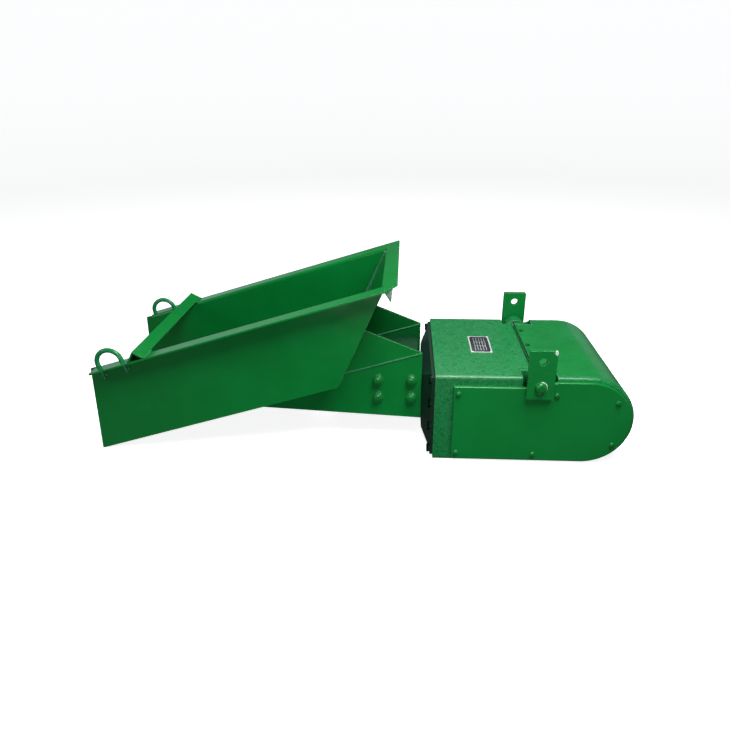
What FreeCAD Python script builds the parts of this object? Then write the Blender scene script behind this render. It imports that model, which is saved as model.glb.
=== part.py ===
import FreeCAD
import Part
import math
import os
from FreeCAD import Placement, Rotation, Vector

# Electromagnetic vibrating feeder, millimetres, Z up, standing on the floor.
# X runs along the drive axis, from the discharge lip (-X) to the rounded rear of the drive (+X).
# Everything is laid out with x = 0 on the front face of the drive housing, and moved at the end
# so that the origin is the middle of the whole machine, on the floor.

# Trough
drive_angle = 16.75         # between the drive axis and the trough floor
trough_width = 500.0        # inside, between the side walls
trough_length = 872.0       # floor, along the slope
trough_depth = 290.0        # square to the floor, flange top to floor underside
sheet = 6.0                 # trough plate
lip_angle = 71.3            # front edge of the side walls, from the floor
rear_angle = 49.5           # rear wall, from the floor
side_flange = 56.0
rear_flange = 40.0
flange_setback = 20.0       # side flange behind the front edge of the wall
bend_radius = 4.0           # inside radius of the folded flange
corner_gusset_drop = 42.0
corner_gusset_width = 30.0
corner_gusset_tip = 12.0

# Angle iron across the flanges
brace_leg = 40.0
brace_thickness = 5.0
brace_place = 172.0         # from the front end of the flange to the ridge

# Hanging rings
ring_bar = 16.0
ring_radius = 42.0          # to the middle of the bar
ring_place = 58.0           # from the front end of the flange to the ring's middle
ring_rise = 6.0             # straight leg above the flange
ring_drop = 42.0            # leg below the flange, along the wall
ring_hole_gap = 0.5

# Connecting fork
fork_thickness = 12.0
fork_inside = 276.0         # between the two plates
fork_rear_gap = 40.0        # rear edge of the plates to the drive housing
fork_corner_height = 335.0  # top rear corner above the floor
fork_heel_height = 90.0     # bottom edge at the rear
fork_bottom_angle = 3.0     # the bottom edge rises this much towards the front
fork_length = 680.0
fork_gusset_seat = 182.0    # length of the gusset's seat on the rear wall
fork_gusset_thickness = 10.0
cross_plate = 10.0
cross_plate_inset = 24.0

# Bridge casting between the fork plates and its neck into the drive
bridge_length = 190.0
bridge_wall = 14.0
bridge_bottom = 106.0
bridge_top = 288.0
bridge_rear_inset = 12.0
neck_width = 180.0
neck_height = 90.0
neck_wall = 14.0
fork_bolt_pitch_x = 114.0
fork_bolt_pitch_z = 65.0
fork_bolt_rear = 34.0       # rear edge of the plate to the rear bolts
fork_bolt_height = 170.0    # lower row
fork_bolt_d = 20.0

# Drive housing
drive_height = 310.0
drive_cast_width = 550.0
drive_wall = 16.0
front_box_length = 312.0    # to the slit where the rear cover begins
drive_length = 646.0
edge_round = 10.0
front_opening_width = 380.0
front_opening_height = 230.0
ledge_length = 48.0
web_place = 392.0
web_thickness = 16.0

# Side covers, D shaped
side_cover_thickness = 12.0
side_cover_front = 60.0
side_cover_rim = 12.0       # inside the round end of the casting
side_cover_step = 20.0      # the front part's top edge lies this much lower
side_cover_round = 4.0
cover_bolt_inset = 24.0
cover_bolt_front = 16.0
cover_bolt_behind_lug = 58.0
cover_bolt_turn = 40.0      # rear bolts, above and below the middle of the round end
cover_bolt_d = 10.0

# Rear cover sheet
rear_sheet = 4.0
slit_width = 4.0
seam_gap = 2.0
screw_row = 25.0            # slit to the row of screws
screw_pitch = 142.0
screw_radius = 4.0
screw_head_radius = 8.0
screw_head_height = 4.0

# Lug pockets, lugs and their bolts
pocket_length = 110.0
pocket_front_gap = 9.0      # front edge of the pocket to the lug
pocket_width = 57.0
pocket_floor = 240.0
pocket_wall = 6.0
lug_width = 85.0
lug_thickness = 16.0
lug_top = 412.0
lug_bottom = 246.0
lug_eye_radius = 13.0
lug_eye_drop = 36.0
lug_centre = 329.0
lug_bolt_height = 288.0
lug_bolt_radius = 15.0
lug_head_radius = 19.0
lug_head_height = 13.0
lug_boss_radius = 36.0
lug_corner_round = 4.0

# Front plate and gasket
gasket = 4.0
front_plate = 6.0
front_plate_inset = 12.0
front_bolt_d = 16.0
front_bolt_rows = 4
hood_length = 28.0          # rubber hood over the neck, in front of the plate
hood_base_inset = 15.0      # base from the casting's top and bottom
hood_tip_inset = 55.0
hood_base_side_inset = 45.0
hood_tip_side_inset = 125.0
hood_wall = 5.0
running_gap = 1.3           # round the neck, which moves

# Leaf springs
leaf_count = 9
leaf_thickness = 6.0
leaf_gap = 2.0
leaf_width = 60.0
leaf_length = 440.0
seat_plate = 20.0
seat_place = 72.0           # front face of the spring seat
seat_width = 150.0
seat_height = 100.0
spring_bolt_radius = 10.0
spring_bolt_spread = 100.0
spring_end_bolt = 196.0     # end bolt from the middle plane
bolt_hole_gap = 1.0
clamp_width = 40.0
clamp_thickness = 22.0
clamp_margin = 8.0          # clamp above and below the leaves
clamp_pad_depth = 14.0      # cast pad in front of each clamp
clamp_pad_margin = 14.0

# Magnet
armature_depth = 44.0
end_plate = 10.0            # outer plates of the armature's stack
end_plate_groove = 2.0
cap_radius = 16.0           # round heads of the armature bolts, sunk in the block
cap_height = 10.0
cap_seat = 18.0             # block left under the heads
magnet_width = 200.0
magnet_height = 110.0
air_gap = 2.2
core_leg_outer = 35.0
core_leg_middle = 60.0
core_leg_length = 70.0
core_back = 40.0
coil_gap = 0.3
coil_wall = 30.0
coil_setback = 3.0          # coil behind the pole face
coil_corner = 18.0
carrier_thickness = 16.0
carrier_width = 270.0
carrier_height = 150.0
stud_radius = 10.0
stud_spread_y = 232.0
stud_spread_z = 110.0
stud_tail = 34.0
nut_flats = 30.0
nut_height = 16.0

# Name plate
name_plate_length = 74.0
name_plate_width = 150.0
name_plate_thickness = 1.5
name_plate_centre = 168.0
rivet_radius = 3.0
rivet_height = 1.5
rivet_inset = 6.0

# Hexagon heads, as parts of the bolt's diameter, and plain bars
head_flats = 1.5
head_height = 0.65
washer_thickness = 0.15
bar_sides = 12              # small bars and their holes are drawn with flats
disc_sides = 24

# Derived places
half_width = trough_width / 2
outer_half = half_width + sheet
flange_half = outer_half + side_flange
slope = math.radians(drive_angle)
lip_x = -fork_rear_gap - fork_corner_height / math.tan(slope)
front_top_u = trough_depth / math.tan(math.radians(lip_angle))
rear_run = trough_depth / math.tan(math.radians(rear_angle))
rear_top_u = trough_length + rear_run
flange_front_u = front_top_u + flange_setback
round_radius = drive_height / 2
round_centre = drive_length - round_radius
axis_height = drive_height / 2
cast_half = drive_cast_width / 2
cover_half = cast_half + side_cover_thickness
cheek_inner = cast_half - drive_wall
fork_half = fork_inside / 2
fork_outer = fork_half + fork_thickness
fork_rear_x = -fork_rear_gap
origin_shift = -(lip_x + drive_length) / 2


def box(x0, x1, y0, y1, z0, z1):
    """Block between two corners."""
    return Part.makeBox(x1 - x0, y1 - y0, z1 - z0, Vector(x0, y0, z0))


def side_prism(points, y0, y1):
    """Outline in the XZ plane, given thickness across the machine."""
    loop = [Vector(x, y0, z) for x, z in points]
    face = Part.Face(Part.makePolygon(loop + loop[:1]))
    return face.extrude(Vector(0, y1 - y0, 0))


def rod(start, direction, radius, length):
    return Part.makeCylinder(radius, length, start, direction)


def regular_face(start, direction, radius, sides):
    """Flat outline with equal sides, its corners on the given radius."""
    loop = [Vector(radius * math.cos(a), radius * math.sin(a), 0)
            for a in [math.radians(360 / sides * i) for i in range(sides)]]
    face = Part.Face(Part.makePolygon(loop + loop[:1]))
    face.Placement = Placement(start, Rotation(Vector(0, 0, 1), direction))
    return face


def bar(start, direction, radius, length, sides=bar_sides):
    """Round bar or disc drawn with flats."""
    along = Vector(direction).normalize() * length
    return regular_face(start, direction, radius, sides).extrude(along)


def bore(start, direction, radius, length):
    """Clearance hole for a bar: its flats stand off the middle by the radius."""
    return bar(start, direction, radius / math.cos(math.pi / bar_sides), length)


def mirrored(shape):
    """The far side's copy of a near side piece."""
    return shape.mirror(Vector(0, 0, 0), Vector(0, 1, 0))


def both_sides(shape):
    return [shape, mirrored(shape)]


def hexagon(start, direction, flats, height):
    """Hexagon head or nut standing on its seat."""
    return bar(start, direction, flats / math.sqrt(3), height, 6)


def hex_bolt(seat, outward, diameter, grip, washer=True):
    """Bolt with its washer: the head stands outward from the seat, the shank goes inward."""
    out = Vector(outward).normalize()
    flats = diameter * head_flats
    disc = 0.0
    pieces = []
    if washer:
        disc = diameter * washer_thickness
        pieces.append(bar(seat, out, diameter, disc, disc_sides))
    pieces.append(hexagon(seat + out * disc, out, flats, diameter * head_height))
    if grip:
        pieces.append(bar(seat + out * disc, out * -1, diameter / 2, grip + disc))
    whole = pieces[0]
    for piece in pieces[1:]:
        whole = whole.fuse(piece)
    return whole.removeSplitter()


def in_trough(shape):
    """From the trough's own axes, u along the floor and v square to it, to the machine's."""
    shape.Placement = Placement(
        Vector(lip_x, 0, 0), Rotation(Vector(0, 1, 0), -drive_angle)
    ).multiply(shape.Placement)
    return shape


def floor_height(x):
    """Height of the floor's underside above the ground, also past the trough's rear."""
    return (x - lip_x) * math.tan(slope)


# Trough plates

def trough_floor():
    rear_step = sheet / math.tan(math.radians(rear_angle))
    lip_step = sheet / math.tan(math.radians(lip_angle))
    outline = [(0, 0), (trough_length, 0), (trough_length + rear_step, sheet), (lip_step, sheet)]
    return in_trough(side_prism(outline, -half_width, half_width))


def flange_section():
    """Side wall and folded flange of the near side, as one bent section."""
    r_in = bend_radius
    r_out = bend_radius + sheet
    top = trough_depth
    wall_in = -half_width
    wall_out = -outer_half
    a = Vector(0, wall_in, 0)
    b = Vector(0, wall_in, top - r_out)
    c = Vector(0, wall_in - r_out, top)
    d = Vector(0, -flange_half, top)
    e = Vector(0, -flange_half, top - sheet)
    f = Vector(0, wall_out - r_in, top - sheet)
    g = Vector(0, wall_out, top - sheet - r_in)
    h = Vector(0, wall_out, 0)
    centre = Vector(0, wall_in - r_out, top - r_out)
    turn = math.radians(45)
    outer_mid = centre + Vector(0, math.cos(turn), math.sin(turn)) * r_out
    inner_mid = centre + Vector(0, math.cos(turn), math.sin(turn)) * r_in
    edges = [
        Part.LineSegment(a, b).toShape(),
        Part.Arc(b, outer_mid, c).toShape(),
        Part.LineSegment(c, d).toShape(),
        Part.LineSegment(d, e).toShape(),
        Part.LineSegment(e, f).toShape(),
        Part.Arc(f, inner_mid, g).toShape(),
        Part.LineSegment(g, h).toShape(),
        Part.LineSegment(h, a).toShape(),
    ]
    return Part.Face(Part.Wire(edges))


def side_wall():
    """Bent wall and flange; in front of the flange the wall stands straight up to its top edge."""
    outline = [
        (flange_front_u, 0),
        (trough_length, 0),
        (rear_top_u, trough_depth),
        (flange_front_u, trough_depth),
    ]
    folded = flange_section().extrude(Vector(rear_top_u, 0, 0))
    folded = folded.common(side_prism(outline, -flange_half, -half_width))
    for u in ring_feet():
        foot = Vector(u, ring_line(), trough_depth - ring_drop)
        folded = folded.cut(bore(foot, Vector(0, 0, 1), ring_bar / 2 + ring_hole_gap, ring_drop))
    front_outline = [
        (0, 0),
        (flange_front_u, 0),
        (flange_front_u, trough_depth),
        (front_top_u, trough_depth),
    ]
    front = side_prism(front_outline, -outer_half, -half_width)
    return in_trough(folded.fuse(front).removeSplitter())


def rear_wall():
    """Slanted rear wall folded out at its top; the near corner of its flange is cut off."""
    lean = math.tan(math.radians(rear_angle))
    along = sheet / math.sin(math.radians(rear_angle))
    foot_u = trough_length + sheet / lean
    plate = side_prism(
        [
            (foot_u, sheet),
            (rear_top_u, trough_depth),
            (rear_top_u - along, trough_depth),
            (foot_u - along, sheet),
        ],
        -half_width,
        half_width,
    )
    flange = side_prism(
        [
            (rear_top_u, trough_depth),
            (rear_top_u + rear_flange, trough_depth),
            (rear_top_u + rear_flange, trough_depth - sheet),
            (rear_top_u - sheet / lean, trough_depth - sheet),
        ],
        -flange_half,
        flange_half,
    )
    corner = Part.makePolygon([
        Vector(rear_top_u, -flange_half, 0),
        Vector(rear_top_u + 2 * rear_flange, -flange_half, 0),
        Vector(rear_top_u + 2 * rear_flange, -flange_half + 2 * rear_flange, 0),
        Vector(rear_top_u, -flange_half, 0),
    ])
    flange = flange.cut(Part.Face(corner).extrude(Vector(0, 0, trough_depth + sheet)))
    return in_trough(plate.fuse(flange).removeSplitter())


def corner_gusset():
    """Small triangle under the rear corner of the flange."""
    top = trough_depth - sheet
    start = rear_top_u - sheet / math.tan(math.radians(rear_angle))
    y = -outer_half - side_flange / 2
    outline = [
        (start, top),
        (start + corner_gusset_width, top),
        (start + corner_gusset_tip, top - corner_gusset_drop),
    ]
    return in_trough(side_prism(outline, y - sheet / 2, y + sheet / 2))


# Brace and rings

def cross_brace():
    """Angle iron laid as a roof, resting on both flanges with its two leg edges."""
    leg = brace_leg
    t = brace_thickness
    outline = [(0, 0), (leg, 0), (leg, -t), (t, -t), (t, -leg), (0, -leg)]
    angle_iron = side_prism(outline, -flange_half, flange_half)
    rise = (leg + t) * math.sqrt(0.5)
    angle_iron.Placement = Placement(
        Vector(flange_front_u + brace_place, 0, trough_depth + rise),
        Rotation(Vector(0, 1, 0), 45),
    )
    return in_trough(angle_iron)


def ring_line():
    """Mid plane of a ring: its legs lie along the outer face of the wall."""
    return -outer_half - ring_bar / 2


def ring_feet():
    middle = flange_front_u + ring_place
    return [middle - ring_radius, middle + ring_radius]


def hanging_ring():
    """Round bar bent to half a circle, with two straight legs through the flange."""
    front_foot, rear_foot = ring_feet()
    y = ring_line()
    up = Vector(0, 0, 1)
    shoulder = trough_depth + ring_rise
    start = Vector(front_foot, y, shoulder)
    middle = Vector((front_foot + rear_foot) / 2, y, shoulder)
    section = regular_face(start, up, ring_bar / 2, bar_sides)
    bow = section.revolve(middle, Vector(0, 1, 0), 180)
    legs = [bar(Vector(u, y, trough_depth - ring_drop), up, ring_bar / 2, ring_drop + ring_rise)
            for u in (front_foot, rear_foot)]
    return in_trough(bow.fuse(legs).removeSplitter())


# Fork

def fork_front_x():
    return fork_rear_x - fork_length


def fork_bottom(x):
    return fork_heel_height + (fork_rear_x - x) * math.tan(math.radians(fork_bottom_angle))


def fork_bolt_places():
    rear = fork_rear_x - fork_bolt_rear
    return [(rear - i * fork_bolt_pitch_x, fork_bolt_height + k * fork_bolt_pitch_z)
            for i in range(2) for k in range(2)]


def fork_plate():
    nose = fork_front_x()
    outline = [
        (nose, floor_height(nose)),
        (nose, fork_bottom(nose)),
        (fork_rear_x, fork_heel_height),
        (fork_rear_x, fork_corner_height),
    ]
    plate = side_prism(outline, -fork_outer, -fork_half)
    for x, z in fork_bolt_places():
        hole = bore(Vector(x, -fork_outer, z), Vector(0, 1, 0),
                    fork_bolt_d / 2 + bolt_hole_gap, fork_thickness)
        plate = plate.cut(hole)
    return plate


def fork_gusset():
    """Triangle between the plate's rear top edge and the trough's rear wall."""
    wall_turn = slope + math.radians(rear_angle)
    foot_x = lip_x + trough_length * math.cos(slope)
    foot = (foot_x, floor_height(foot_x))
    seat = (
        foot[0] + fork_gusset_seat * math.cos(wall_turn),
        foot[1] + fork_gusset_seat * math.sin(wall_turn),
    )
    middle = -(fork_half + fork_thickness / 2)
    outline = [foot, (fork_rear_x, fork_corner_height), seat]
    half = fork_gusset_thickness / 2
    return side_prism(outline, middle - half, middle + half)


def front_cross_plate():
    """Upright plate between the fork plates, under the trough floor."""
    x0 = fork_front_x() + cross_plate_inset
    x1 = x0 + cross_plate
    outline = [
        (x0, fork_bottom(x0)),
        (x1, fork_bottom(x1)),
        (x1, floor_height(x1)),
        (x0, floor_height(x0)),
    ]
    return side_prism(outline, -fork_half, fork_half)


def fork_bridge():
    """Box casting between the fork plates; its neck carries the spring seat inside the drive."""
    x1 = fork_rear_x - bridge_rear_inset
    x0 = x1 - bridge_length
    body = box(x0, x1, -fork_half, fork_half, bridge_bottom, bridge_top)
    hollow = box(x0 - 1, x1 - bridge_wall, -fork_half + bridge_wall, fork_half - bridge_wall,
                 bridge_bottom + bridge_wall, bridge_top - bridge_wall)
    body = body.cut(hollow)
    low = axis_height - neck_height / 2
    high = axis_height + neck_height / 2
    neck = box(x1, seat_place, -neck_width / 2, neck_width / 2, low, high)
    channel = box(x1 - bridge_wall, seat_place, -neck_width / 2 + neck_wall,
                  neck_width / 2 - neck_wall, low + neck_wall, high - neck_wall)
    seat = box(seat_place, seat_place + seat_plate, -seat_width / 2, seat_width / 2,
               axis_height - seat_height / 2, axis_height + seat_height / 2)
    whole = body.fuse(neck).cut(channel).fuse(seat)
    for y in (-spring_bolt_spread / 2, spring_bolt_spread / 2):
        whole = whole.cut(bar(Vector(seat_place, y, axis_height), Vector(1, 0, 0),
                              spring_bolt_radius, seat_plate))
    for x, z in fork_bolt_places():
        for side in (-1, 1):
            hole = bar(Vector(x, side * fork_half, z), Vector(0, -side, 0),
                       fork_bolt_d / 2, bridge_wall)
            whole = whole.cut(hole)
    return whole.removeSplitter()


def fork_bolts():
    bolts = []
    grip = fork_thickness + bridge_wall
    for x, z in fork_bolt_places():
        for side in (-1, 1):
            seat = Vector(x, side * fork_outer, z)
            bolts.append(hex_bolt(seat, Vector(0, side, 0), fork_bolt_d, grip))
    return Part.makeCompound(bolts)


# Drive housing

def round_end_profile(inset, front, y0, y1):
    """D-shaped outline of the drive, seen from the side, set in all round except at the front."""
    r = round_radius - inset
    low = Vector(front, y0, inset)
    turn_low = Vector(round_centre, y0, inset)
    tip = Vector(round_centre + r, y0, axis_height)
    turn_high = Vector(round_centre, y0, drive_height - inset)
    high = Vector(front, y0, drive_height - inset)
    wire = Part.Wire([
        Part.LineSegment(low, turn_low).toShape(),
        Part.Arc(turn_low, tip, turn_high).toShape(),
        Part.LineSegment(turn_high, high).toShape(),
        Part.LineSegment(high, low).toShape(),
    ])
    return Part.Face(wire).extrude(Vector(0, y1 - y0, 0))


def pocket_x():
    front = lug_centre - lug_width / 2 - pocket_front_gap
    return front, front + pocket_length


def front_opening():
    half = front_opening_width / 2
    low = axis_height - front_opening_height / 2
    return box(-1, drive_wall + 1, -half, half, low, low + front_opening_height)


def front_bolt_places():
    """Bolts down both sides of the front plate: y and height."""
    side = cast_half - front_plate_inset - front_bolt_d
    low = front_plate_inset + front_bolt_d
    step = (drive_height - 2 * low) / (front_bolt_rows - 1)
    return [(s * side, low + i * step) for s in (-1, 1) for i in range(front_bolt_rows)]


def drive_housing():
    """Casting: closed box at the front, two D-shaped cheeks behind it, a web for the magnet."""
    body = round_end_profile(0, 0, -cast_half, cast_half)
    long_edges = [e for e in body.Edges
                  if abs(abs(e.CenterOfMass.y) - cast_half) < 1
                  and e.BoundBox.XLength > 1]
    body = body.makeFillet(edge_round, long_edges)
    body = body.cut(box(drive_wall, front_box_length, -cheek_inner, cheek_inner,
                        drive_wall, drive_height - drive_wall))
    body = body.cut(box(front_box_length, drive_length + 1, -cheek_inner, cheek_inner,
                        -1, drive_height + 1))
    body = body.cut(front_opening())
    top = drive_height - rear_sheet
    ledge_end = front_box_length + ledge_length
    ledge_start = front_box_length - drive_wall
    upper = box(ledge_start, ledge_end, -cheek_inner, cheek_inner, top - drive_wall, top)
    lower = box(ledge_start, ledge_end, -cheek_inner, cheek_inner, rear_sheet, rear_sheet + drive_wall)
    web = box(web_place, web_place + web_thickness, -cheek_inner, cheek_inner, rear_sheet, top)
    body = body.fuse([upper, lower, web])
    x0, x1 = pocket_x()
    inner = cast_half - pocket_width
    block = box(x0 - pocket_wall, x1 + pocket_wall, -cheek_inner, -inner + pocket_wall,
                pocket_floor - pocket_wall, drive_height)
    pocket = box(x0, x1, -cast_half - 1, -inner, pocket_floor, drive_height + 1)
    boss = rod(Vector(lug_centre, -cast_half, lug_bolt_height), Vector(0, 1, 0),
               lug_boss_radius, pocket_width)
    hole = rod(Vector(lug_centre, -cast_half, lug_bolt_height), Vector(0, 1, 0),
               lug_bolt_radius, pocket_width)
    for piece in both_sides(block):
        body = body.fuse(piece)
    for piece in both_sides(pocket):
        body = body.cut(piece)
    for piece in both_sides(boss):
        body = body.fuse(piece)
    for piece in both_sides(hole):
        body = body.cut(piece)
    for y, z in stud_places():
        body = body.cut(bore(Vector(web_place, y, z), Vector(1, 0, 0),
                             stud_radius + bolt_hole_gap / 2, web_thickness))
    for y, z in front_bolt_places():
        body = body.cut(bar(Vector(0, y, z), Vector(1, 0, 0), front_bolt_d / 2, drive_wall))
    for pad in clamp_pads():
        body = body.fuse(pad)
    for y in screw_places():
        body = body.cut(bar(Vector(screw_x(), y, top - drive_wall), Vector(0, 0, 1),
                            screw_radius, drive_wall))
    return body.removeSplitter()


def side_cover():
    """D-shaped plate on the cheek, lower along the front part, with rounded edges."""
    plate = round_end_profile(side_cover_rim, side_cover_front, -cover_half, -cast_half)
    x0, x1 = pocket_x()
    low = drive_height - side_cover_rim - side_cover_step
    step = side_prism(
        [
            (side_cover_front - 1, drive_height),
            (side_cover_front - 1, low),
            (lug_centre, low),
            (x1, drive_height - side_cover_rim),
            (x1, drive_height),
        ],
        -cover_half,
        -cast_half,
    )
    plate = plate.cut(step)
    outer_edges = [e for e in plate.Edges
                   if e.BoundBox.YLength < 1e-6 and abs(e.CenterOfMass.y + cover_half) < 1e-6]
    plate = plate.makeFillet(side_cover_round, outer_edges)
    return plate.cut(rod(Vector(lug_centre, -cover_half, lug_bolt_height), Vector(0, 1, 0),
                         lug_bolt_radius + bolt_hole_gap / 2, side_cover_thickness))


def side_cover_bolt_places():
    """Small bolts round the side cover: x and height."""
    low = side_cover_rim + cover_bolt_inset
    high = drive_height - side_cover_step - low
    front = side_cover_front + cover_bolt_front
    reach = round_radius - low
    turn = math.radians(cover_bolt_turn)
    rear = round_centre + reach * math.cos(turn)
    rise = reach * math.sin(turn)
    return [(front, low), (front, high), (lug_centre + cover_bolt_behind_lug, high),
            (rear, axis_height + rise), (rear, axis_height - rise), (lug_centre, low)]


def side_cover_bolts():
    bolts = []
    for x, z in side_cover_bolt_places():
        for side in (-1, 1):
            seat = Vector(x, side * cover_half, z)
            bolts.append(hex_bolt(seat, Vector(0, side, 0), cover_bolt_d, 0.0, False))
    return Part.makeCompound(bolts)


def screw_x():
    return front_box_length + screw_row


def screw_places():
    return [-screw_pitch, 0, screw_pitch]


def rear_cover():
    """Sheet bent half round over the rear, between the two cheeks, notched for the lug pockets."""
    half = cheek_inner - seam_gap
    outer = round_end_profile(0, front_box_length + slit_width, -half, half)
    inner = round_end_profile(rear_sheet, front_box_length, -half - 1, half + 1)
    cover = outer.cut(inner)
    x0, x1 = pocket_x()
    gap = seam_gap / 2
    notch = box(x0 - pocket_wall, x1 + pocket_wall + gap, -cast_half,
                -cast_half + pocket_width + pocket_wall + gap, axis_height, drive_height + 1)
    for piece in both_sides(notch):
        cover = cover.cut(piece)
    for y in screw_places():
        cover = cover.cut(bore(Vector(screw_x(), y, drive_height - rear_sheet), Vector(0, 0, 1),
                               screw_radius + bolt_hole_gap, rear_sheet))
    return cover.removeSplitter()


def rear_cover_screws():
    screws = []
    up = Vector(0, 0, 1)
    for y in screw_places():
        seat = Vector(screw_x(), y, drive_height)
        head = bar(seat, up, screw_head_radius, screw_head_height, disc_sides)
        length = rear_sheet + drive_wall
        shank = bar(seat - Vector(0, 0, length), up, screw_radius, length)
        screws.append(head.fuse(shank).removeSplitter())
    return Part.makeCompound(screws)


def hanging_lug():
    """Flat bar on the side cover, with an eye at its top."""
    half = lug_width / 2
    x0 = lug_centre - half
    flat = box(x0, x0 + lug_width, -cover_half - lug_thickness, -cover_half, lug_bottom, lug_top)
    corners = [e for e in flat.Edges if e.BoundBox.YLength > lug_thickness - 1e-6]
    flat = flat.makeFillet(lug_corner_round, corners)
    eye = rod(Vector(lug_centre, -cover_half - lug_thickness, lug_top - lug_eye_drop),
              Vector(0, 1, 0), lug_eye_radius, lug_thickness)
    hole = rod(Vector(lug_centre, -cover_half - lug_thickness, lug_bolt_height),
               Vector(0, 1, 0), lug_bolt_radius + bolt_hole_gap / 2, lug_thickness)
    return flat.cut(eye).cut(hole)


def lug_bolts():
    """Round-headed bolt through each lug and side cover into the casting's boss."""
    seat = Vector(lug_centre, -cover_half - lug_thickness, lug_bolt_height)
    head = rod(seat, Vector(0, -1, 0), lug_head_radius, lug_head_height)
    rim = [e for e in head.Edges if abs(e.CenterOfMass.y - seat.y + lug_head_height) < 1e-6]
    head = head.makeChamfer(lug_corner_round, rim)
    shank = rod(seat, Vector(0, 1, 0), lug_bolt_radius,
                lug_thickness + side_cover_thickness + pocket_width)
    return Part.makeCompound(both_sides(head.fuse(shank).removeSplitter()))


# Front plate

def front_layer(x0, x1):
    """Plate over the housing's front, open round the neck."""
    edge = front_plate_inset
    plate = box(x0, x1, -cast_half + edge, cast_half - edge, edge, drive_height - edge)
    side = neck_width / 2 + running_gap
    rise = neck_height / 2 + running_gap
    plate = plate.cut(box(x0, x1, -side, side, axis_height - rise, axis_height + rise))
    for y, z in front_bolt_places():
        plate = plate.cut(bore(Vector(x0, y, z), Vector(1, 0, 0),
                               (front_bolt_d + bolt_hole_gap) / 2, x1 - x0))
    return plate


def front_gasket():
    return front_layer(-gasket, 0)


def front_seal_plate():
    return front_layer(-gasket - front_plate, -gasket)


def hood_frame(x, side_inset, inset):
    side = cast_half - side_inset
    top = drive_height - inset
    return Part.makePolygon([
        Vector(x, -side, inset),
        Vector(x, side, inset),
        Vector(x, side, top),
        Vector(x, -side, top),
        Vector(x, -side, inset),
    ])


def neck_seal():
    """Rubber hood on the front plate, narrower towards its tip, open round the neck."""
    base = -gasket - front_plate
    tip = base - hood_length
    w = hood_wall
    outer = Part.makeLoft([
        hood_frame(base, hood_base_side_inset, hood_base_inset),
        hood_frame(tip, hood_tip_side_inset, hood_tip_inset),
    ], True, True)
    inner = Part.makeLoft([
        hood_frame(base, hood_base_side_inset + w, hood_base_inset + w),
        hood_frame(tip + w, hood_tip_side_inset + w, hood_tip_inset + w),
    ], True, True)
    side = neck_width / 2 + running_gap
    rise = neck_height / 2 + running_gap
    way = box(tip, base, -side, side, axis_height - rise, axis_height + rise)
    return outer.cut(inner).cut(way)


def front_plate_bolts():
    bolts = []
    for y, z in front_bolt_places():
        seat = Vector(-gasket - front_plate, y, z)
        grip = gasket + front_plate + drive_wall
        bolts.append(hex_bolt(seat, Vector(-1, 0, 0), front_bolt_d, grip, False))
    return Part.makeCompound(bolts)


# Spring pack

def pack_front():
    return seat_place + seat_plate


def pack_length():
    return leaf_count * leaf_thickness + (leaf_count - 1) * leaf_gap


def pack_rear():
    return pack_front() + pack_length()


def leaf_x(index):
    return pack_front() + index * (leaf_thickness + leaf_gap)


def spring_holes(shape, x0, x1, gap):
    for y in (-spring_end_bolt, -spring_bolt_spread / 2, spring_bolt_spread / 2, spring_end_bolt):
        shape = shape.cut(bore(Vector(x0, y, axis_height), Vector(1, 0, 0),
                               spring_bolt_radius + gap, x1 - x0))
    return shape


def leaf_springs():
    leaves = []
    for i in range(leaf_count):
        x = leaf_x(i)
        leaf = box(x, x + leaf_thickness, -leaf_length / 2, leaf_length / 2,
                   axis_height - leaf_width / 2, axis_height + leaf_width / 2)
        leaves.append(spring_holes(leaf, x, x + leaf_thickness, bolt_hole_gap))
    return Part.makeCompound(leaves)


def spacer_row(y, width):
    pieces = []
    for i in range(leaf_count - 1):
        x = leaf_x(i) + leaf_thickness
        pad = box(x, x + leaf_gap, y - width / 2, y + width / 2,
                  axis_height - leaf_width / 2, axis_height + leaf_width / 2)
        pieces.append(spring_holes(pad, x, x + leaf_gap, bolt_hole_gap))
    return pieces


def middle_spacers():
    return Part.makeCompound(spacer_row(0, seat_width))


def end_spacers():
    return Part.makeCompound(spacer_row(-spring_end_bolt, clamp_width)
                             + spacer_row(spring_end_bolt, clamp_width))


def clamp_pads():
    """Cast pads on the side walls that the spring clamps are bolted to."""
    half = leaf_width / 2 + clamp_pad_margin
    x0 = pack_front() - clamp_thickness - clamp_pad_depth
    pad = box(x0, pack_front() - clamp_thickness, -cheek_inner, -spring_end_bolt + clamp_width / 2,
              axis_height - half, axis_height + half)
    pad = pad.cut(bar(Vector(x0, -spring_end_bolt, axis_height), Vector(1, 0, 0),
                      spring_bolt_radius, clamp_pad_depth))
    return both_sides(pad)


def spring_clamps():
    """Clamp blocks in front of and behind each end of the spring pack."""
    half = leaf_width / 2 + clamp_margin
    blocks = []
    for x in (pack_front() - clamp_thickness, pack_rear()):
        block = box(x, x + clamp_thickness, -spring_end_bolt - clamp_width / 2,
                    -spring_end_bolt + clamp_width / 2, axis_height - half, axis_height + half)
        block = block.cut(bore(Vector(x, -spring_end_bolt, axis_height), Vector(1, 0, 0),
                               spring_bolt_radius + bolt_hole_gap / 2, clamp_thickness))
        blocks += both_sides(block)
    return Part.makeCompound(blocks)


def spring_end_bolts():
    grip = pack_length() + 2 * clamp_thickness + clamp_pad_depth
    bolts = []
    for side in (-1, 1):
        seat = Vector(pack_rear() + clamp_thickness, side * spring_end_bolt, axis_height)
        bolts.append(hex_bolt(seat, Vector(1, 0, 0), spring_bolt_radius * 2, grip))
    return Part.makeCompound(bolts)


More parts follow.
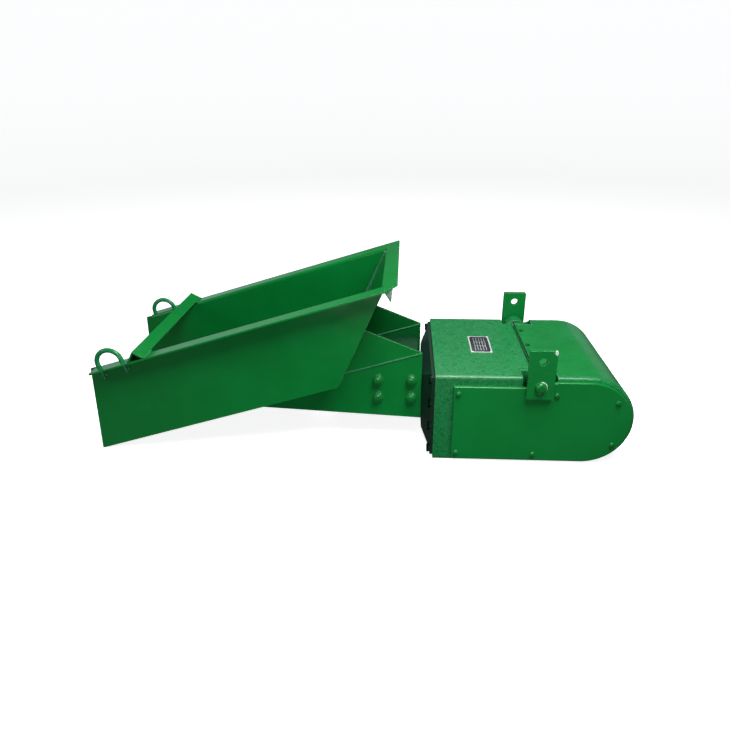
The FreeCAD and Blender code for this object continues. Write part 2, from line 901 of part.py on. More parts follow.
def armature_carrier():
    """Plate behind the middle of the pack: it clamps the leaves and carries the armature."""
    x = pack_rear()
    plate = box(x, x + seat_plate, -magnet_width / 2, magnet_width / 2,
                axis_height - seat_height / 2, axis_height + seat_height / 2)
    return spring_holes(plate, x, x + seat_plate, bolt_hole_gap / 2)


def armature_bolts():
    """Two long bolts from the armature through carrier and leaves into the seat."""
    bolts = []
    grip = pack_length() + 2 * seat_plate + cap_seat + cap_height
    for y in (-spring_bolt_spread / 2, spring_bolt_spread / 2):
        start = Vector(seat_place, y, axis_height)
        shank = bar(start, Vector(1, 0, 0), spring_bolt_radius, grip)
        cap = bar(start + Vector(grip - cap_height, 0, 0), Vector(1, 0, 0), cap_radius, cap_height)
        bolts.append(shank.fuse(cap).removeSplitter())
    return Part.makeCompound(bolts)


# Magnet

def armature_front():
    return pack_rear() + seat_plate


def pole_face():
    return armature_front() + armature_depth + air_gap


def armature():
    """Laminated block that the coil pulls, its stack held by two end plates."""
    x = armature_front()
    half_h = magnet_height / 2
    block = box(x, x + armature_depth, -magnet_width / 2, magnet_width / 2,
                axis_height - half_h, axis_height + half_h)
    for y in (-spring_bolt_spread / 2, spring_bolt_spread / 2):
        block = block.cut(bore(Vector(x, y, axis_height), Vector(1, 0, 0),
                               spring_bolt_radius + bolt_hole_gap / 2, armature_depth))
        block = block.cut(bore(Vector(x + cap_seat, y, axis_height), Vector(1, 0, 0),
                               cap_radius + bolt_hole_gap, armature_depth - cap_seat))
    g = end_plate_groove
    for side in (-1, 1):
        middle = axis_height + side * (half_h - end_plate)
        groove = box(x, x + armature_depth, -magnet_width / 2, magnet_width / 2,
                     middle - g / 2, middle + g / 2)
        kept = box(x + g, x + armature_depth - g, -magnet_width / 2 + g, magnet_width / 2 - g,
                   middle - g / 2, middle + g / 2)
        block = block.cut(groove.cut(kept))
    return block


def coil_core():
    """E-shaped laminated stack, its three poles facing the armature."""
    x = pole_face()
    half = magnet_width / 2
    middle = core_leg_middle / 2
    outline = [
        (x, -half),
        (x + core_leg_length + core_back, -half),
        (x + core_leg_length + core_back, half),
        (x, half),
        (x, half - core_leg_outer),
        (x + core_leg_length, half - core_leg_outer),
        (x + core_leg_length, middle),
        (x, middle),
        (x, -middle),
        (x + core_leg_length, -middle),
        (x + core_leg_length, -half + core_leg_outer),
        (x, -half + core_leg_outer),
    ]
    loop = [Vector(a, b, axis_height - magnet_height / 2) for a, b in outline]
    return Part.Face(Part.makePolygon(loop + loop[:1])).extrude(Vector(0, 0, magnet_height))


def coil_winding():
    """Wound coil round the middle pole, with rounded corners."""
    x0 = pole_face() + coil_setback
    x1 = pole_face() + core_leg_length - coil_gap
    inner_y = core_leg_middle / 2 + coil_gap
    inner_z = magnet_height / 2 + coil_gap
    outer_y = inner_y + coil_wall
    outer_z = inner_z + coil_wall
    ring = box(x0, x1, -outer_y, outer_y, axis_height - outer_z, axis_height + outer_z)
    corners = [e for e in ring.Edges if e.BoundBox.XLength > 1]
    ring = ring.makeFillet(coil_corner, corners)
    return ring.cut(box(x0 - 1, x1 + 1, -inner_y, inner_y, axis_height - inner_z,
                        axis_height + inner_z))


def carrier_front():
    return pole_face() + core_leg_length + core_back


def stud_places():
    return [(s * stud_spread_y / 2, axis_height + k * stud_spread_z / 2)
            for s in (-1, 1) for k in (-1, 1)]


def core_carrier():
    """Plate behind the core; four studs set its distance, and so the air gap."""
    x = carrier_front()
    plate = box(x, x + carrier_thickness, -carrier_width / 2, carrier_width / 2,
                axis_height - carrier_height / 2, axis_height + carrier_height / 2)
    for y, z in stud_places():
        plate = plate.cut(bar(Vector(x, y, z), Vector(1, 0, 0), stud_radius, carrier_thickness))
    return plate


def gap_studs():
    x = carrier_front()
    end = web_place + web_thickness + stud_tail
    return Part.makeCompound([bar(Vector(x, y, z), Vector(1, 0, 0), stud_radius, end - x)
                              for y, z in stud_places()])


def gap_stud_nuts():
    nuts = []
    for y, z in stud_places():
        for x, out in ((web_place, -1), (web_place + web_thickness, 1)):
            seat = Vector(x, y, z)
            direction = Vector(out, 0, 0)
            nut = hexagon(seat, direction, nut_flats, nut_height)
            nuts.append(nut.cut(bar(seat, direction, stud_radius, nut_height)))
    return Part.makeCompound(nuts)


# Name plate

def name_plate():
    return box(name_plate_centre - name_plate_length / 2, name_plate_centre + name_plate_length / 2,
               -name_plate_width / 2, name_plate_width / 2,
               drive_height, drive_height + name_plate_thickness)


def name_plate_rivets():
    top = drive_height + name_plate_thickness
    rivets = []
    for sx in (-1, 1):
        for sy in (-1, 1):
            seat = Vector(name_plate_centre + sx * (name_plate_length / 2 - rivet_inset),
                          sy * (name_plate_width / 2 - rivet_inset), top)
            rivets.append(bar(seat, Vector(0, 0, 1), rivet_radius, rivet_height))
    return Part.makeCompound(rivets)


near_wall = side_wall()
near_gusset = corner_gusset()
near_ring = hanging_ring()
near_fork = fork_plate()
near_fork_gusset = fork_gusset()
near_cover = side_cover()
near_lug = hanging_lug()

nodes = {
    "trough_floor": trough_floor(),
    "side_wall_near": near_wall,
    "side_wall_far": mirrored(near_wall),
    "rear_wall": rear_wall(),
    "corner_gusset_near": near_gusset,
    "corner_gusset_far": mirrored(near_gusset),
    "cross_brace": cross_brace(),
    "hanging_ring_near": near_ring,
    "hanging_ring_far": mirrored(near_ring),
    "fork_plate_near": near_fork,
    "fork_plate_far": mirrored(near_fork),
    "fork_gusset_near": near_fork_gusset,
    "fork_gusset_far": mirrored(near_fork_gusset),
    "front_cross_plate": front_cross_plate(),
    "fork_bridge": fork_bridge(),
    "fork_bolts": fork_bolts(),
    "armature_carrier": armature_carrier(),
    "armature": armature(),
    "armature_bolts": armature_bolts(),
    "middle_spacers": middle_spacers(),
    "leaf_springs": leaf_springs(),
    "end_spacers": end_spacers(),
    "spring_clamps": spring_clamps(),
    "spring_end_bolts": spring_end_bolts(),
    "drive_housing": drive_housing(),
    "side_cover_near": near_cover,
    "side_cover_far": mirrored(near_cover),
    "side_cover_bolts": side_cover_bolts(),
    "rear_cover": rear_cover(),
    "rear_cover_screws": rear_cover_screws(),
    "hanging_lug_near": near_lug,
    "hanging_lug_far": mirrored(near_lug),
    "lug_bolts": lug_bolts(),
    "front_gasket": front_gasket(),
    "front_seal_plate": front_seal_plate(),
    "neck_seal": neck_seal(),
    "front_plate_bolts": front_plate_bolts(),
    "coil_core": coil_core(),
    "coil_winding": coil_winding(),
    "core_carrier": core_carrier(),
    "gap_studs": gap_studs(),
    "gap_stud_nuts": gap_stud_nuts(),
    "name_plate": name_plate(),
    "name_plate_rivets": name_plate_rivets(),
}

os.makedirs("parts", exist_ok=True)
for name, shape in nodes.items():
    shape.translate(Vector(origin_shift, 0, 0))
    if not shape.isValid():
        print("not valid:", name)
    print(name, len(shape.Solids), round(shape.Volume / 1000, 1))
    shape.exportStep("parts/" + name + ".step")
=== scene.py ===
# %% [markdown]
# # A vibrating feeder, painted green
# This lesson dresses a machine that shakes bulk material down a sloping steel trough. Its solids come
# from a fixed frame that was packed before, so nothing here moves or cuts them. What is left is what
# Blender does best: paint, cast iron, weld seams, bolts, a studio and a camera.

# %% Load the frame
import math
import random

import bmesh
import bpy
from mathutils import Matrix, Vector


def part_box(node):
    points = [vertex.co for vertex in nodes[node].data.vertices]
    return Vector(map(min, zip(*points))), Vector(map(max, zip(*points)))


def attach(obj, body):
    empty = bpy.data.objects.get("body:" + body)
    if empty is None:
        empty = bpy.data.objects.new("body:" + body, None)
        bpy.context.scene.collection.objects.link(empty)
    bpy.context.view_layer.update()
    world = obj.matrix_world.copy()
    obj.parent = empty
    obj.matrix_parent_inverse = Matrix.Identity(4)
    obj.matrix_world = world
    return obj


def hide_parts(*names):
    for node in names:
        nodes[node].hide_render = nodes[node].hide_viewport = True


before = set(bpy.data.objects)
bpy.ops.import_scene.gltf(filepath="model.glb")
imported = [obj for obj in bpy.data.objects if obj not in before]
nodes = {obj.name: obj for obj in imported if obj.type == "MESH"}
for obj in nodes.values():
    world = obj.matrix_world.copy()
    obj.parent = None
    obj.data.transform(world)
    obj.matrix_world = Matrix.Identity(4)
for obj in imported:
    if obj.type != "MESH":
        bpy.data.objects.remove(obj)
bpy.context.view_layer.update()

# %% [markdown]
# ## Two sets of axes
# The trough leans by almost 17 degrees, so its seams and rings are easiest to give along its own
# floor: u runs up the slope from the discharge lip, v stands square to the floor. The drive stands
# level. One turn takes the trough's own places to the machine's, so each piece can be drawn as it
# would be on a drawing of the trough alone.

# %% Sizes of the trough, in metres
slope = math.radians(16.75)
lip_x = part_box("trough_floor")[0].x
half_width = 0.250
plate = 0.006
depth = 0.290
floor_length = 0.872
lip_lean = math.radians(71.3)
rear_lean = math.radians(49.5)
flange = 0.056
flange_set_back = 0.020
flange_front = depth / math.tan(lip_lean) + flange_set_back
rear_top = floor_length + depth / math.tan(rear_lean)
side = {"near": -1, "far": 1}
from_trough = Matrix.Translation((lip_x, 0, 0)) @ Matrix.Rotation(-slope, 4, "Y")


def on_trough(u, y, v):
    """A place in the trough's own axes, as a place in the machine."""
    return from_trough @ Vector((u, y, v))


print("rear top edge of the trough:", [round(c, 3) for c in on_trough(rear_top, 0, depth)])

# %% [markdown]
# ## The camera
# The real machine was seen from its near side and from well above the trough, with a rather wide
# lens: its near top edges run together quickly towards the left. A heading, a tilt and a slight roll
# turn the camera. They were found by matching about forty edges and corners of the machine.

# %% Make the camera
lens_mm = 31.66
sensor_mm = 36.0
camera_place = (0.1463, -2.1468, 1.1769)
heading = math.radians(3.62)
tilt = math.radians(66.06)
roll = math.radians(-0.51)

camera = bpy.data.objects.new("camera", bpy.data.cameras.new("camera"))
camera.data.lens = lens_mm
camera.data.sensor_width = sensor_mm
turn = Matrix.Rotation(heading, 4, "Z") @ Matrix.Rotation(tilt, 4, "X") @ Matrix.Rotation(roll, 4, "Z")
camera.matrix_world = Matrix.Translation(camera_place) @ turn
bpy.context.scene.collection.objects.link(camera)
bpy.context.scene.camera = camera
print("camera stands", round(Vector(camera_place).length, 2), "m from the middle of the machine")

# %% [markdown]
# ## Turning and joining meshes
# Many pieces here are turned on a lathe or end in a flat cap. A few helpers serve them all. One makes
# an object from a finished bmesh and marks its sharp edges, so that round faces shade smoothly and
# edges stay crisp. One spins a profile round an axis and closes its poles. The last one hands a piece
# over to the machine: it says which half of the machine the piece moves with, and what it is made of.

# %% Helpers for meshes
crease = math.radians(32)


def mesh_object(name, bm):
    """Turns a finished bmesh into an object at the origin, with its sharp edges marked."""
    for face in bm.faces:
        face.smooth = True
    for edge in bm.edges:
        if edge.is_manifold and edge.calc_face_angle() > crease:
            edge.smooth = False
    mesh = bpy.data.meshes.new(name)
    bm.to_mesh(mesh)
    bm.free()
    made = bpy.data.objects.new(name, mesh)
    bpy.context.scene.collection.objects.link(made)
    return made


def faces_of(verts):
    """The faces that touch some points, each one once and always in the same order."""
    return list(dict.fromkeys(face for vert in verts for face in vert.link_faces))


def turned(bm, profile, segments, place=Matrix.Identity(4)):
    """Spins (radius, height) places round the upright axis and puts the result in its place."""
    before = set(bm.verts)
    line = [bm.verts.new((radius, 0, height)) for radius, height in profile]
    edges = [bm.edges.new(pair) for pair in zip(line, line[1:])]
    bmesh.ops.spin(bm, geom=line + edges, cent=(0, 0, 0), axis=(0, 0, 1), dvec=(0, 0, 0),
                   angle=2 * math.pi, steps=segments, use_merge=True, use_duplicate=False)
    made = [vert for vert in bm.verts if vert not in before]
    bmesh.ops.remove_doubles(bm, verts=made, dist=1e-6)
    made = [vert for vert in bm.verts if vert not in before]
    bmesh.ops.recalc_face_normals(bm, faces=faces_of(made))
    bmesh.ops.transform(bm, matrix=place, verts=made)


def standing_on(place, outward):
    """Puts a piece that was made standing on z = 0 on a place, standing outward from it."""
    return Matrix.Translation(place) @ Vector(outward).to_track_quat("Z", "Y").to_matrix().to_4x4()


def hand_over(name, bm, finish, body):
    """Makes a finished bmesh a piece of the machine, which rides on one of its two halves."""
    made = mesh_object(name, bm)
    made.data.materials.append(finish)
    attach(made, body)
    print(name, "faces:", len(made.data.polygons))
    return made


print("mesh helpers ready")

# %% [markdown]
# ## The studio
# A pale floor that turns up at its rim, like a photographer's paper sweep, gives no horizon line.
# It could be one bent sheet, but then it would block the view from behind, so it is spun into a wide
# shallow bowl: a profile of a few points, turned once round the upright axis. The sheet is a light
# table: it glows a little by itself, which keeps the background white. Mirrored and scattered rays
# pass through it, so that the paint shows and gets the hall's light and not the white sheet's.

# %% A bowl-shaped floor
floor_radius = 7.0
rim_radius = 3.0
rim_height = 6.0
rim_steps = 8

profile = [(0.0, 0.0), (floor_radius, 0.0)]
for step in range(1, rim_steps + 1):
    angle = math.pi / 2 * step / rim_steps
    profile.append((floor_radius + rim_radius * math.sin(angle), rim_radius * (1 - math.cos(angle))))
profile.append((floor_radius + rim_radius, rim_height))
bm = bmesh.new()
turned(bm, profile, 64)
if next(iter(bm.faces)).normal.z < 0:
    bmesh.ops.reverse_faces(bm, faces=bm.faces)
studio_floor = mesh_object("studio_floor", bm)
studio_floor.visible_glossy = False
studio_floor.visible_diffuse = False

paper_look = {"Base Color": (0.93, 0.93, 0.93, 1), "Roughness": 0.9, "Specular IOR Level": 0.0,
              "Emission Color": (1.0, 1.0, 1.0, 1), "Emission Strength": 0.86}
paper = bpy.data.materials.new("pale_paper")
paper.use_nodes = True
for socket, value in paper_look.items():
    paper.node_tree.nodes["Principled BSDF"].inputs[socket].default_value = value
studio_floor.data.materials.append(paper)
print("floor faces:", len(studio_floor.data.polygons))

# %% [markdown]
# ## The light
# Painted steel shows its form by what it mirrors. By the look of its paint, the machine stood in a
# hall with bright doors, a dim roof and a dim ground. Its flat upward faces, seen at a low angle,
# mirror the doors and turn pale, while the brace and the upright sides mirror the roof or the ground
# and stay deep green.
# So the sky is a ramp by height with one bright band above the horizon, and a second ramp breaks the
# band into doors to the left and the right.

# %% The sky
dim_ground = (0.12, 0.12, 0.12)
bright_doors = (0.47, 0.50, 0.60)
half_lit = (0.16, 0.17, 0.19)
dim_roof = (0.06, 0.065, 0.07)
sky_steps = [(0.485, dim_ground), (0.51, bright_doors), (0.588, bright_doors), (0.604, half_lit),
             (0.622, dim_roof), (1.0, dim_roof)]
left_door = (1.0, 1.0, 1.0)
wall_between_doors = (0.30, 0.30, 0.30)
right_door = (0.8, 0.8, 0.8)
door_steps = [(0.32, left_door), (0.41, wall_between_doors), (0.51, wall_between_doors), (0.58, right_door)]

world = bpy.data.worlds.new("studio_sky")
bpy.context.scene.world = world
world.use_nodes = True
sky_tree = world.node_tree
sky = sky_tree.nodes["Background"]
direction = sky_tree.nodes.new("ShaderNodeTexCoord").outputs["Generated"]
parts = sky_tree.nodes.new("ShaderNodeSeparateXYZ")
sky_tree.links.new(direction, parts.inputs["Vector"])


def set_stops(ramp, stops):
    """Gives a colour ramp its places and their colours."""
    points = ramp.color_ramp.elements
    while len(points) < len(stops):
        points.new(0.5)
    for point, (place, colour) in zip(points, stops):
        point.position = place
        point.color = (*colour, 1)


def sky_ramp(source, steps):
    """Colours over one part of a direction, which runs from -1 to 1."""
    share = sky_tree.nodes.new("ShaderNodeMapRange")
    share.inputs["From Min"].default_value = -1.0
    sky_tree.links.new(source, share.inputs["Value"])
    ramp = sky_tree.nodes.new("ShaderNodeValToRGB")
    sky_tree.links.new(share.outputs["Result"], ramp.inputs["Fac"])
    set_stops(ramp, steps)
    return ramp.outputs["Color"]


doors = sky_tree.nodes.new("ShaderNodeMix")
doors.data_type = "RGBA"
doors.blend_type = "MULTIPLY"
doors.inputs[0].default_value = 1.0
sky_tree.links.new(sky_ramp(parts.outputs["Z"], sky_steps), doors.inputs[6])
sky_tree.links.new(sky_ramp(parts.outputs["X"], door_steps), doors.inputs[7])
sky_tree.links.new(doors.outputs[2], sky.inputs["Color"])
print("sky made, steps by height:", len(sky_steps), "steps from left to right:", len(door_steps))

# %% [markdown]
# ## The lamps
# Most of the light comes from a broad lamp high in front: it lets each flange throw a soft shadow on
# the wall below it, and it is near enough to leave the far side of the machine a little darker. Two
# weak lamps fill the left end and the back, and a low one in front lifts the nearest upright sides.

# %% Four soft lamps
def lamp(name, place, aim, size, watts):
    """A square soft lamp that looks at a point."""
    light = bpy.data.lights.new(name, "AREA")
    light.size = size
    light.energy = watts
    made = bpy.data.objects.new(name, light)
    made.location = place
    made.rotation_euler = (Vector(aim) - Vector(place)).to_track_quat("-Z", "Y").to_euler()
    bpy.context.scene.collection.objects.link(made)
    return made


lamps = [
    lamp("key_lamp", (0.65, -0.95, 2.25), (0.05, 0.0, 0.3), 1.2, 73.0),
    lamp("front_lamp", (0.0, -2.30, 0.45), (0.0, 0.0, 0.25), 0.8, 11.0),
    lamp("back_lamp", (0.2, 1.6, 3.0), (0.0, 0.0, 0.3), 1.6, 45.0),
    lamp("left_lamp", (-3.0, -1.6, 1.8), (0.0, 0.0, 0.3), 1.2, 14.0),
]
bpy.context.scene.view_settings.view_transform = "Standard"
print("lamps:", [made.name for made in lamps])

# %% [markdown]
# ## Nodes for a finish
# Every finish below is a small tree of nodes round one shader. A few helpers keep the trees short:
# some add cloudy noise at a real size or grade a value into numbers and colours, some find edges or
# spots, and one turns a height into bumps. Noise is read in object coordinates, which are metres
# here, so a scale of 100 means clouds about a centimetre across.

# %% Helpers for finishes
edge_round = 0.0020
fade = 0.0005


class Finish:
    """A material and the few kinds of node that its tree is made of."""

    def __init__(self, name):
        self.material = bpy.data.materials.new(name)
        self.material.use_nodes = True
        self.tree = self.material.node_tree
        self.shader = self.tree.nodes["Principled BSDF"]
        self.place = self.node("TexCoord").outputs["Object"]

    def node(self, kind):
        """Adds a node of one kind to the tree."""
        return self.tree.nodes.new("ShaderNode" + kind)

    def link(self, source, target):
        self.tree.links.new(source, target)

    def fill(self, socket, value):
        """Links a socket to a node's output, or gives it a colour or a number."""
        if hasattr(value, "links"):
            self.link(value, socket)
        elif hasattr(value, "__len__"):
            socket.default_value = (*value, 1)
        else:
            socket.default_value = value

    def noise(self, scale, detail=3.0, roughness=0.55, stretch=None):
        """Clouds with values round 0.5, which a stretch can draw out into streaks."""
        node = self.node("TexNoise")
        node.inputs["Scale"].default_value = scale
        node.inputs["Detail"].default_value = detail
        node.inputs["Roughness"].default_value = roughness
        source = self.place
        if stretch:
            mapping = self.node("Mapping")
            mapping.inputs["Scale"].default_value = stretch
            self.link(self.place, mapping.inputs["Vector"])
            source = mapping.outputs["Vector"]
        self.link(source, node.inputs["Vector"])
        return node.outputs["Fac"]

    def ramp(self, value, stops):
        """Turns a value into colours."""
        node = self.node("ValToRGB")
        self.link(value, node.inputs["Fac"])
        set_stops(node, stops)
        return node.outputs["Color"]

    def grade(self, value, low, high, start=0.3, end=0.7):
        """Turns a value from start to end into a number from low to high."""
        node = self.node("MapRange")
        node.inputs["From Min"].default_value = start
        node.inputs["From Max"].default_value = end
        node.inputs["To Min"].default_value = low
        node.inputs["To Max"].default_value = high
        self.link(value, node.inputs["Value"])
        return node.outputs["Result"]

    def maths(self, operation, first, second=0.0):
        node = self.node("Math")
        node.operation = operation
        self.fill(node.inputs[0], first)
        self.fill(node.inputs[1], second)
        return node.outputs["Value"]

    def times(self, first, second):
        return self.maths("MULTIPLY", first, second)

    def place_parts(self):
        """The x, y and z of a place."""
        node = self.node("SeparateXYZ")
        self.link(self.place, node.inputs["Vector"])
        return node.outputs

    def mix(self, share, first, second):
        """Mixes two colours by a share of the second."""
        node = self.node("Mix")
        node.data_type = "RGBA"
        self.fill(node.inputs[0], share)
        self.fill(node.inputs[6], first)
        self.fill(node.inputs[7], second)
        return node.outputs[2]

    def soft_edges(self, radius=edge_round):
        """A normal that turns softly over each edge, as if it were rounded."""
        node = self.node("Bevel")
        node.samples = 6
        node.inputs["Radius"].default_value = radius
        return node.outputs["Normal"]

    def edge_share(self, radius, low, high):
        """About 0 on flat faces and 1 on edges, from how far a rounded edge would turn.

        Low and high are the cosines of the turn where the share reaches 1 and 0.
        """
        dot = self.node("VectorMath")
        dot.operation = "DOT_PRODUCT"
        self.link(self.soft_edges(radius), dot.inputs[0])
        self.link(self.node("NewGeometry").outputs["Normal"], dot.inputs[1])
        return self.grade(dot.outputs["Value"], 1.0, 0.0, low, high)

    def bump(self, height, distance, strength=1.0, normal=None):
        """Bends a normal by a height."""
        node = self.node("Bump")
        node.inputs["Strength"].default_value = strength
        node.inputs["Distance"].default_value = distance
        self.link(height, node.inputs["Height"])
        if normal:
            self.link(normal, node.inputs["Normal"])
        return node.outputs["Normal"]

    def painted_inner_shade(self, colour, from_middle, share):
        """Paints shade: darkens a colour on the faces that lie nearer to the middle plane than a distance."""
        node = self.node("HueSaturation")
        distance = self.maths("ABSOLUTE", self.place_parts()["Y"])
        value = self.grade(distance, share, 1.0, from_middle - fade, from_middle + fade)
        self.link(value, node.inputs["Value"])
        self.link(colour, node.inputs["Color"])
        return node.outputs["Color"]

    def facet_height(self, axis_x, axis_z, step):
        """Height of flat strips on a round bend: highest at the lines where a press brake bent it."""
        parts = self.place_parts()
        angle = self.maths("ARCTAN2", self.maths("SUBTRACT", parts["Z"], axis_z),
                           self.maths("SUBTRACT", parts["X"], axis_x))
        share = self.maths("SUBTRACT", self.maths("FRACT", self.times(angle, 1 / step)), 0.5)
        return self.times(self.times(share, share), 4.0)

    def spot(self, middle, radius, ragged=0.3):
        """About 1 inside a ragged round patch and 0 outside it."""
        gap = self.node("VectorMath")
        gap.operation = "DISTANCE"
        self.link(self.place, gap.inputs[0])
        gap.inputs[1].default_value = middle
        waver = self.grade(self.noise(140.0, 3.0), -radius * ragged, radius * ragged)
        return self.grade(self.maths("ADD", gap.outputs["Value"], waver), 1.0, 0.0, radius * 0.85, radius)

    def set(self, **values):
        """Gives the shader its values and returns the finished material."""
        for name, value in values.items():
            self.fill(self.shader.inputs[name.replace("_", " ")], value)
        return self.material


print("finish helpers ready")

# %% [markdown]
# ## Gloss enamel on plate
# The trough, fork and covers are sprayed with one coat of green machine enamel. Sprayed enamel is
# never quite even: it lies in faint clouds, has a fine orange peel, runs thin and pale on the sheared
# edges, and is knocked off in a few small chips there. All of this is small next to the colour
# itself, so each part stays gentle.

# %% Sheet enamel
bare_steel = (0.42, 0.44, 0.40)
chalky_primer = (0.62, 0.70, 0.62)
facet_depth = 0.0006
thin_rim = 0.0022
chip_blur = 0.03


def enamel(name, greens, peel, gloss, chip_start=0.66, bare_spot=None, facets=None, inner_shade=None, rim=None):
    """Enamel from its dark, middle and pale green, its peel's depth and scale, and its gloss's range."""
    look = Finish(name)
    dark, middle, pale = greens
    peel_depth, peel_scale = peel
    # Without a given rim the sheared edges run thin and pale; the rim given for the side covers is a painted
    # highlight.
    rim_width, rim_colour = rim or (thin_rim, [c * 1.7 + 0.025 for c in pale])
    body = look.ramp(look.noise(4.0, 4.0, 0.6), [(0.30, dark), (0.5, middle), (0.72, pale)])
    edges = look.edge_share(rim_width, 0.75, 0.98)
    thin = look.times(edges, look.grade(look.noise(55.0, 3.0), 0.10, 0.75))
    body = look.mix(thin, body, rim_colour)
    flakes = look.grade(look.noise(120.0, 4.0, 0.65), 0.0, 1.0, chip_start, chip_start + chip_blur)
    body = look.mix(look.times(edges, flakes), body, bare_steel)
    if bare_spot:
        body = look.mix(look.spot(*bare_spot), body, chalky_primer)
    # Painted shade: faces nearer the middle plane are darkened, for the shade inside the trough and the fork.
    if inner_shade:
        body = look.painted_inner_shade(body, *inner_shade)
    normal = look.soft_edges()
    if facets:
        normal = look.bump(look.facet_height(*facets), facet_depth, 1.0, normal)
    normal = look.bump(look.noise(peel_scale, 3.0, 0.5), peel_depth, 1.0, normal)
    roughness = look.grade(look.noise(26.0, 3.0), *gloss)
    return look.set(Base_Color=body, Roughness=roughness, Normal=normal, Specular_IOR_Level=0.42)


plate_greens = ((0.0018, 0.168, 0.026), (0.0022, 0.190, 0.031), (0.003, 0.208, 0.038))
plate_peel = (0.00008, 240.0)
plate_gloss = (0.14, 0.22)
sheet_paint = enamel("sheet_enamel", plate_greens, plate_peel, plate_gloss)
print("made", sheet_paint.name)

# %% [markdown]
# ## The same enamel, place by place
# Painted shade: the inner faces of the trough and of the fork are painted darker, for the shade that
# falls there. The side covers' rims are painted pale, a painted highlight along their rounded edges,
# and the weld metal took the paint badly. The rear cover was bent in many small steps, so its bend is
# a row of flat strips with faint lines between them. One corner of the near lug lost its paint, the
# bars of the rings are painted paler, as painted light on bars that hang in the flange's shade, and
# bolts lose their paint first.

# %% Enamels for walls, fork, covers, seams, lugs, rings and bolts
fork_plate_middle = 0.144
wall_middle = half_width + plate / 2
# Painted shade: the walls' and the fork plates' inner faces are darker, for the shade that falls there.
wall_paint_inner_shade = enamel("wall_enamel_inner_shade", plate_greens, plate_peel, plate_gloss, inner_shade=(wall_middle, 0.80))
fork_paint_inner_shade = enamel("fork_enamel_inner_shade", plate_greens, plate_peel, plate_gloss, inner_shade=(fork_plate_middle, 0.55))
# Painted highlight: the side covers' rims are painted pale green, for the bright lines along their rounded
# top edges.
lid_paint_rim_highlight = enamel("lid_enamel_rim_highlight", plate_greens, plate_peel, plate_gloss, rim=(0.0042, (0.14, 0.52, 0.28)))

thick_peel = (0.00012, 260.0)
thick_gloss = (0.20, 0.32)
seam_greens = ((0.026, 0.180, 0.075), (0.045, 0.215, 0.100), (0.085, 0.270, 0.145))
# Painted light: the rings' greens are paler than the plate's, which paints light onto the round bars hanging
# in the flange's shade.
ring_lit_greens = ((0.0030, 0.170, 0.040), (0.006, 0.210, 0.060), (0.020, 0.270, 0.110))
seam_paint = enamel("seam_enamel", seam_greens, thick_peel, thick_gloss)
ring_paint_lightened = enamel("ring_enamel_painted_light", ring_lit_greens, thick_peel, thick_gloss)

cover_low, cover_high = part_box("rear_cover")
bend_middle = (cover_low.z + cover_high.z) / 2
strip_turn = math.radians(19.0)
cover_greens = ((0.0018, 0.160, 0.026), (0.0022, 0.185, 0.034), (0.005, 0.215, 0.050))
cover_paint = enamel("cover_enamel", cover_greens, (0.00010, 200.0), (0.24, 0.36),
                     facets=(cover_high.x - bend_middle, bend_middle, strip_turn))

lug_low, lug_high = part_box("hanging_lug_near")
bare_corner = (lug_high.x - 0.002, lug_low.y, lug_high.z - 0.004)
lug_greens = ((0.0018, 0.158, 0.026), (0.0022, 0.182, 0.031), (0.003, 0.200, 0.038))
lug_paint = enamel("lug_enamel", lug_greens, plate_peel, (0.20, 0.30), 0.60, bare_spot=(bare_corner, 0.009))

bolt_greens = ((0.0015, 0.120, 0.018), (0.0025, 0.165, 0.026), (0.006, 0.21, 0.045))
bolt_peel = (0.00012, 300.0)
bolt_gloss = (0.18, 0.28)
bolt_paint = enamel("bolt_enamel", bolt_greens, bolt_peel, bolt_gloss, 0.60)
worn_paint = enamel("worn_bolt_enamel", bolt_greens, bolt_peel, bolt_gloss, 0.44)
print("made", wall_paint_inner_shade.name, fork_paint_inner_shade.name, lid_paint_rim_highlight.name, seam_paint.name, ring_paint_lightened.name)
print("made", cover_paint.name, lug_paint.name, bolt_paint.name, worn_paint.name)

# %% [markdown]
# ## Gloss enamel on a casting
# The drive housing is a sand casting. Its skin is grainy, the paint pools in the hollows and stands
# up on the grains, and its colour follows the sand's lumps: darker in the hollows and paler on the
# grains, painted shade and painted highlight where light breaks up into pale spots a few millimetres
# across. Three noises make the height: one for the slow waves of the mould, one for the sand's lumps
# and a fine one for the grain. The bridge in the fork is cast too; its enamel is painted dark, for
# the shade between the fork plates.

# %% Casting enamel
cast_edge = (0.05, 0.38, 0.17)


def cast_enamel():
    look = Finish("casting_enamel")
    lumps = look.noise(150.0, 5.0, 0.62)
    # The colour follows the same lumps as the bump: painted shade in the hollows and painted highlight on the
    # grains.
    body = look.ramp(lumps, [(0.34, (0.003, 0.110, 0.022)), (0.50, (0.004, 0.182, 0.042)),
                             (0.66, (0.009, 0.245, 0.078))])
    edges = look.edge_share(0.004, 0.80, 0.99)
    body = look.mix(look.times(edges, 0.6), body, cast_edge)
    waves = look.bump(look.noise(17.0, 2.0, 0.5), 0.0022, 0.55, look.soft_edges(0.003))
    skin = look.bump(lumps, 0.0011, 0.9, waves)
    normal = look.bump(look.noise(320.0, 3.0, 0.6), 0.0003, 0.7, skin)
    roughness = look.grade(look.noise(60.0, 2.0), 0.24, 0.40)
    return look.set(Base_Color=body, Roughness=roughness, Normal=normal, Specular_IOR_Level=0.55)


def shaded_casting():
    look = Finish("shaded_casting_enamel")
    lumps = look.noise(120.0, 4.0, 0.6)
    # Painted shade: the bridge's near-black greens stand in for the shade between the fork plates.
    body = look.ramp(lumps, [(0.35, (0.002, 0.030, 0.009)), (0.70, (0.003, 0.060, 0.018))])
    normal = look.bump(lumps, 0.0008, 0.8, look.soft_edges(0.003))
    return look.set(Base_Color=body, Roughness=0.45, Normal=normal, Specular_IOR_Level=0.2)


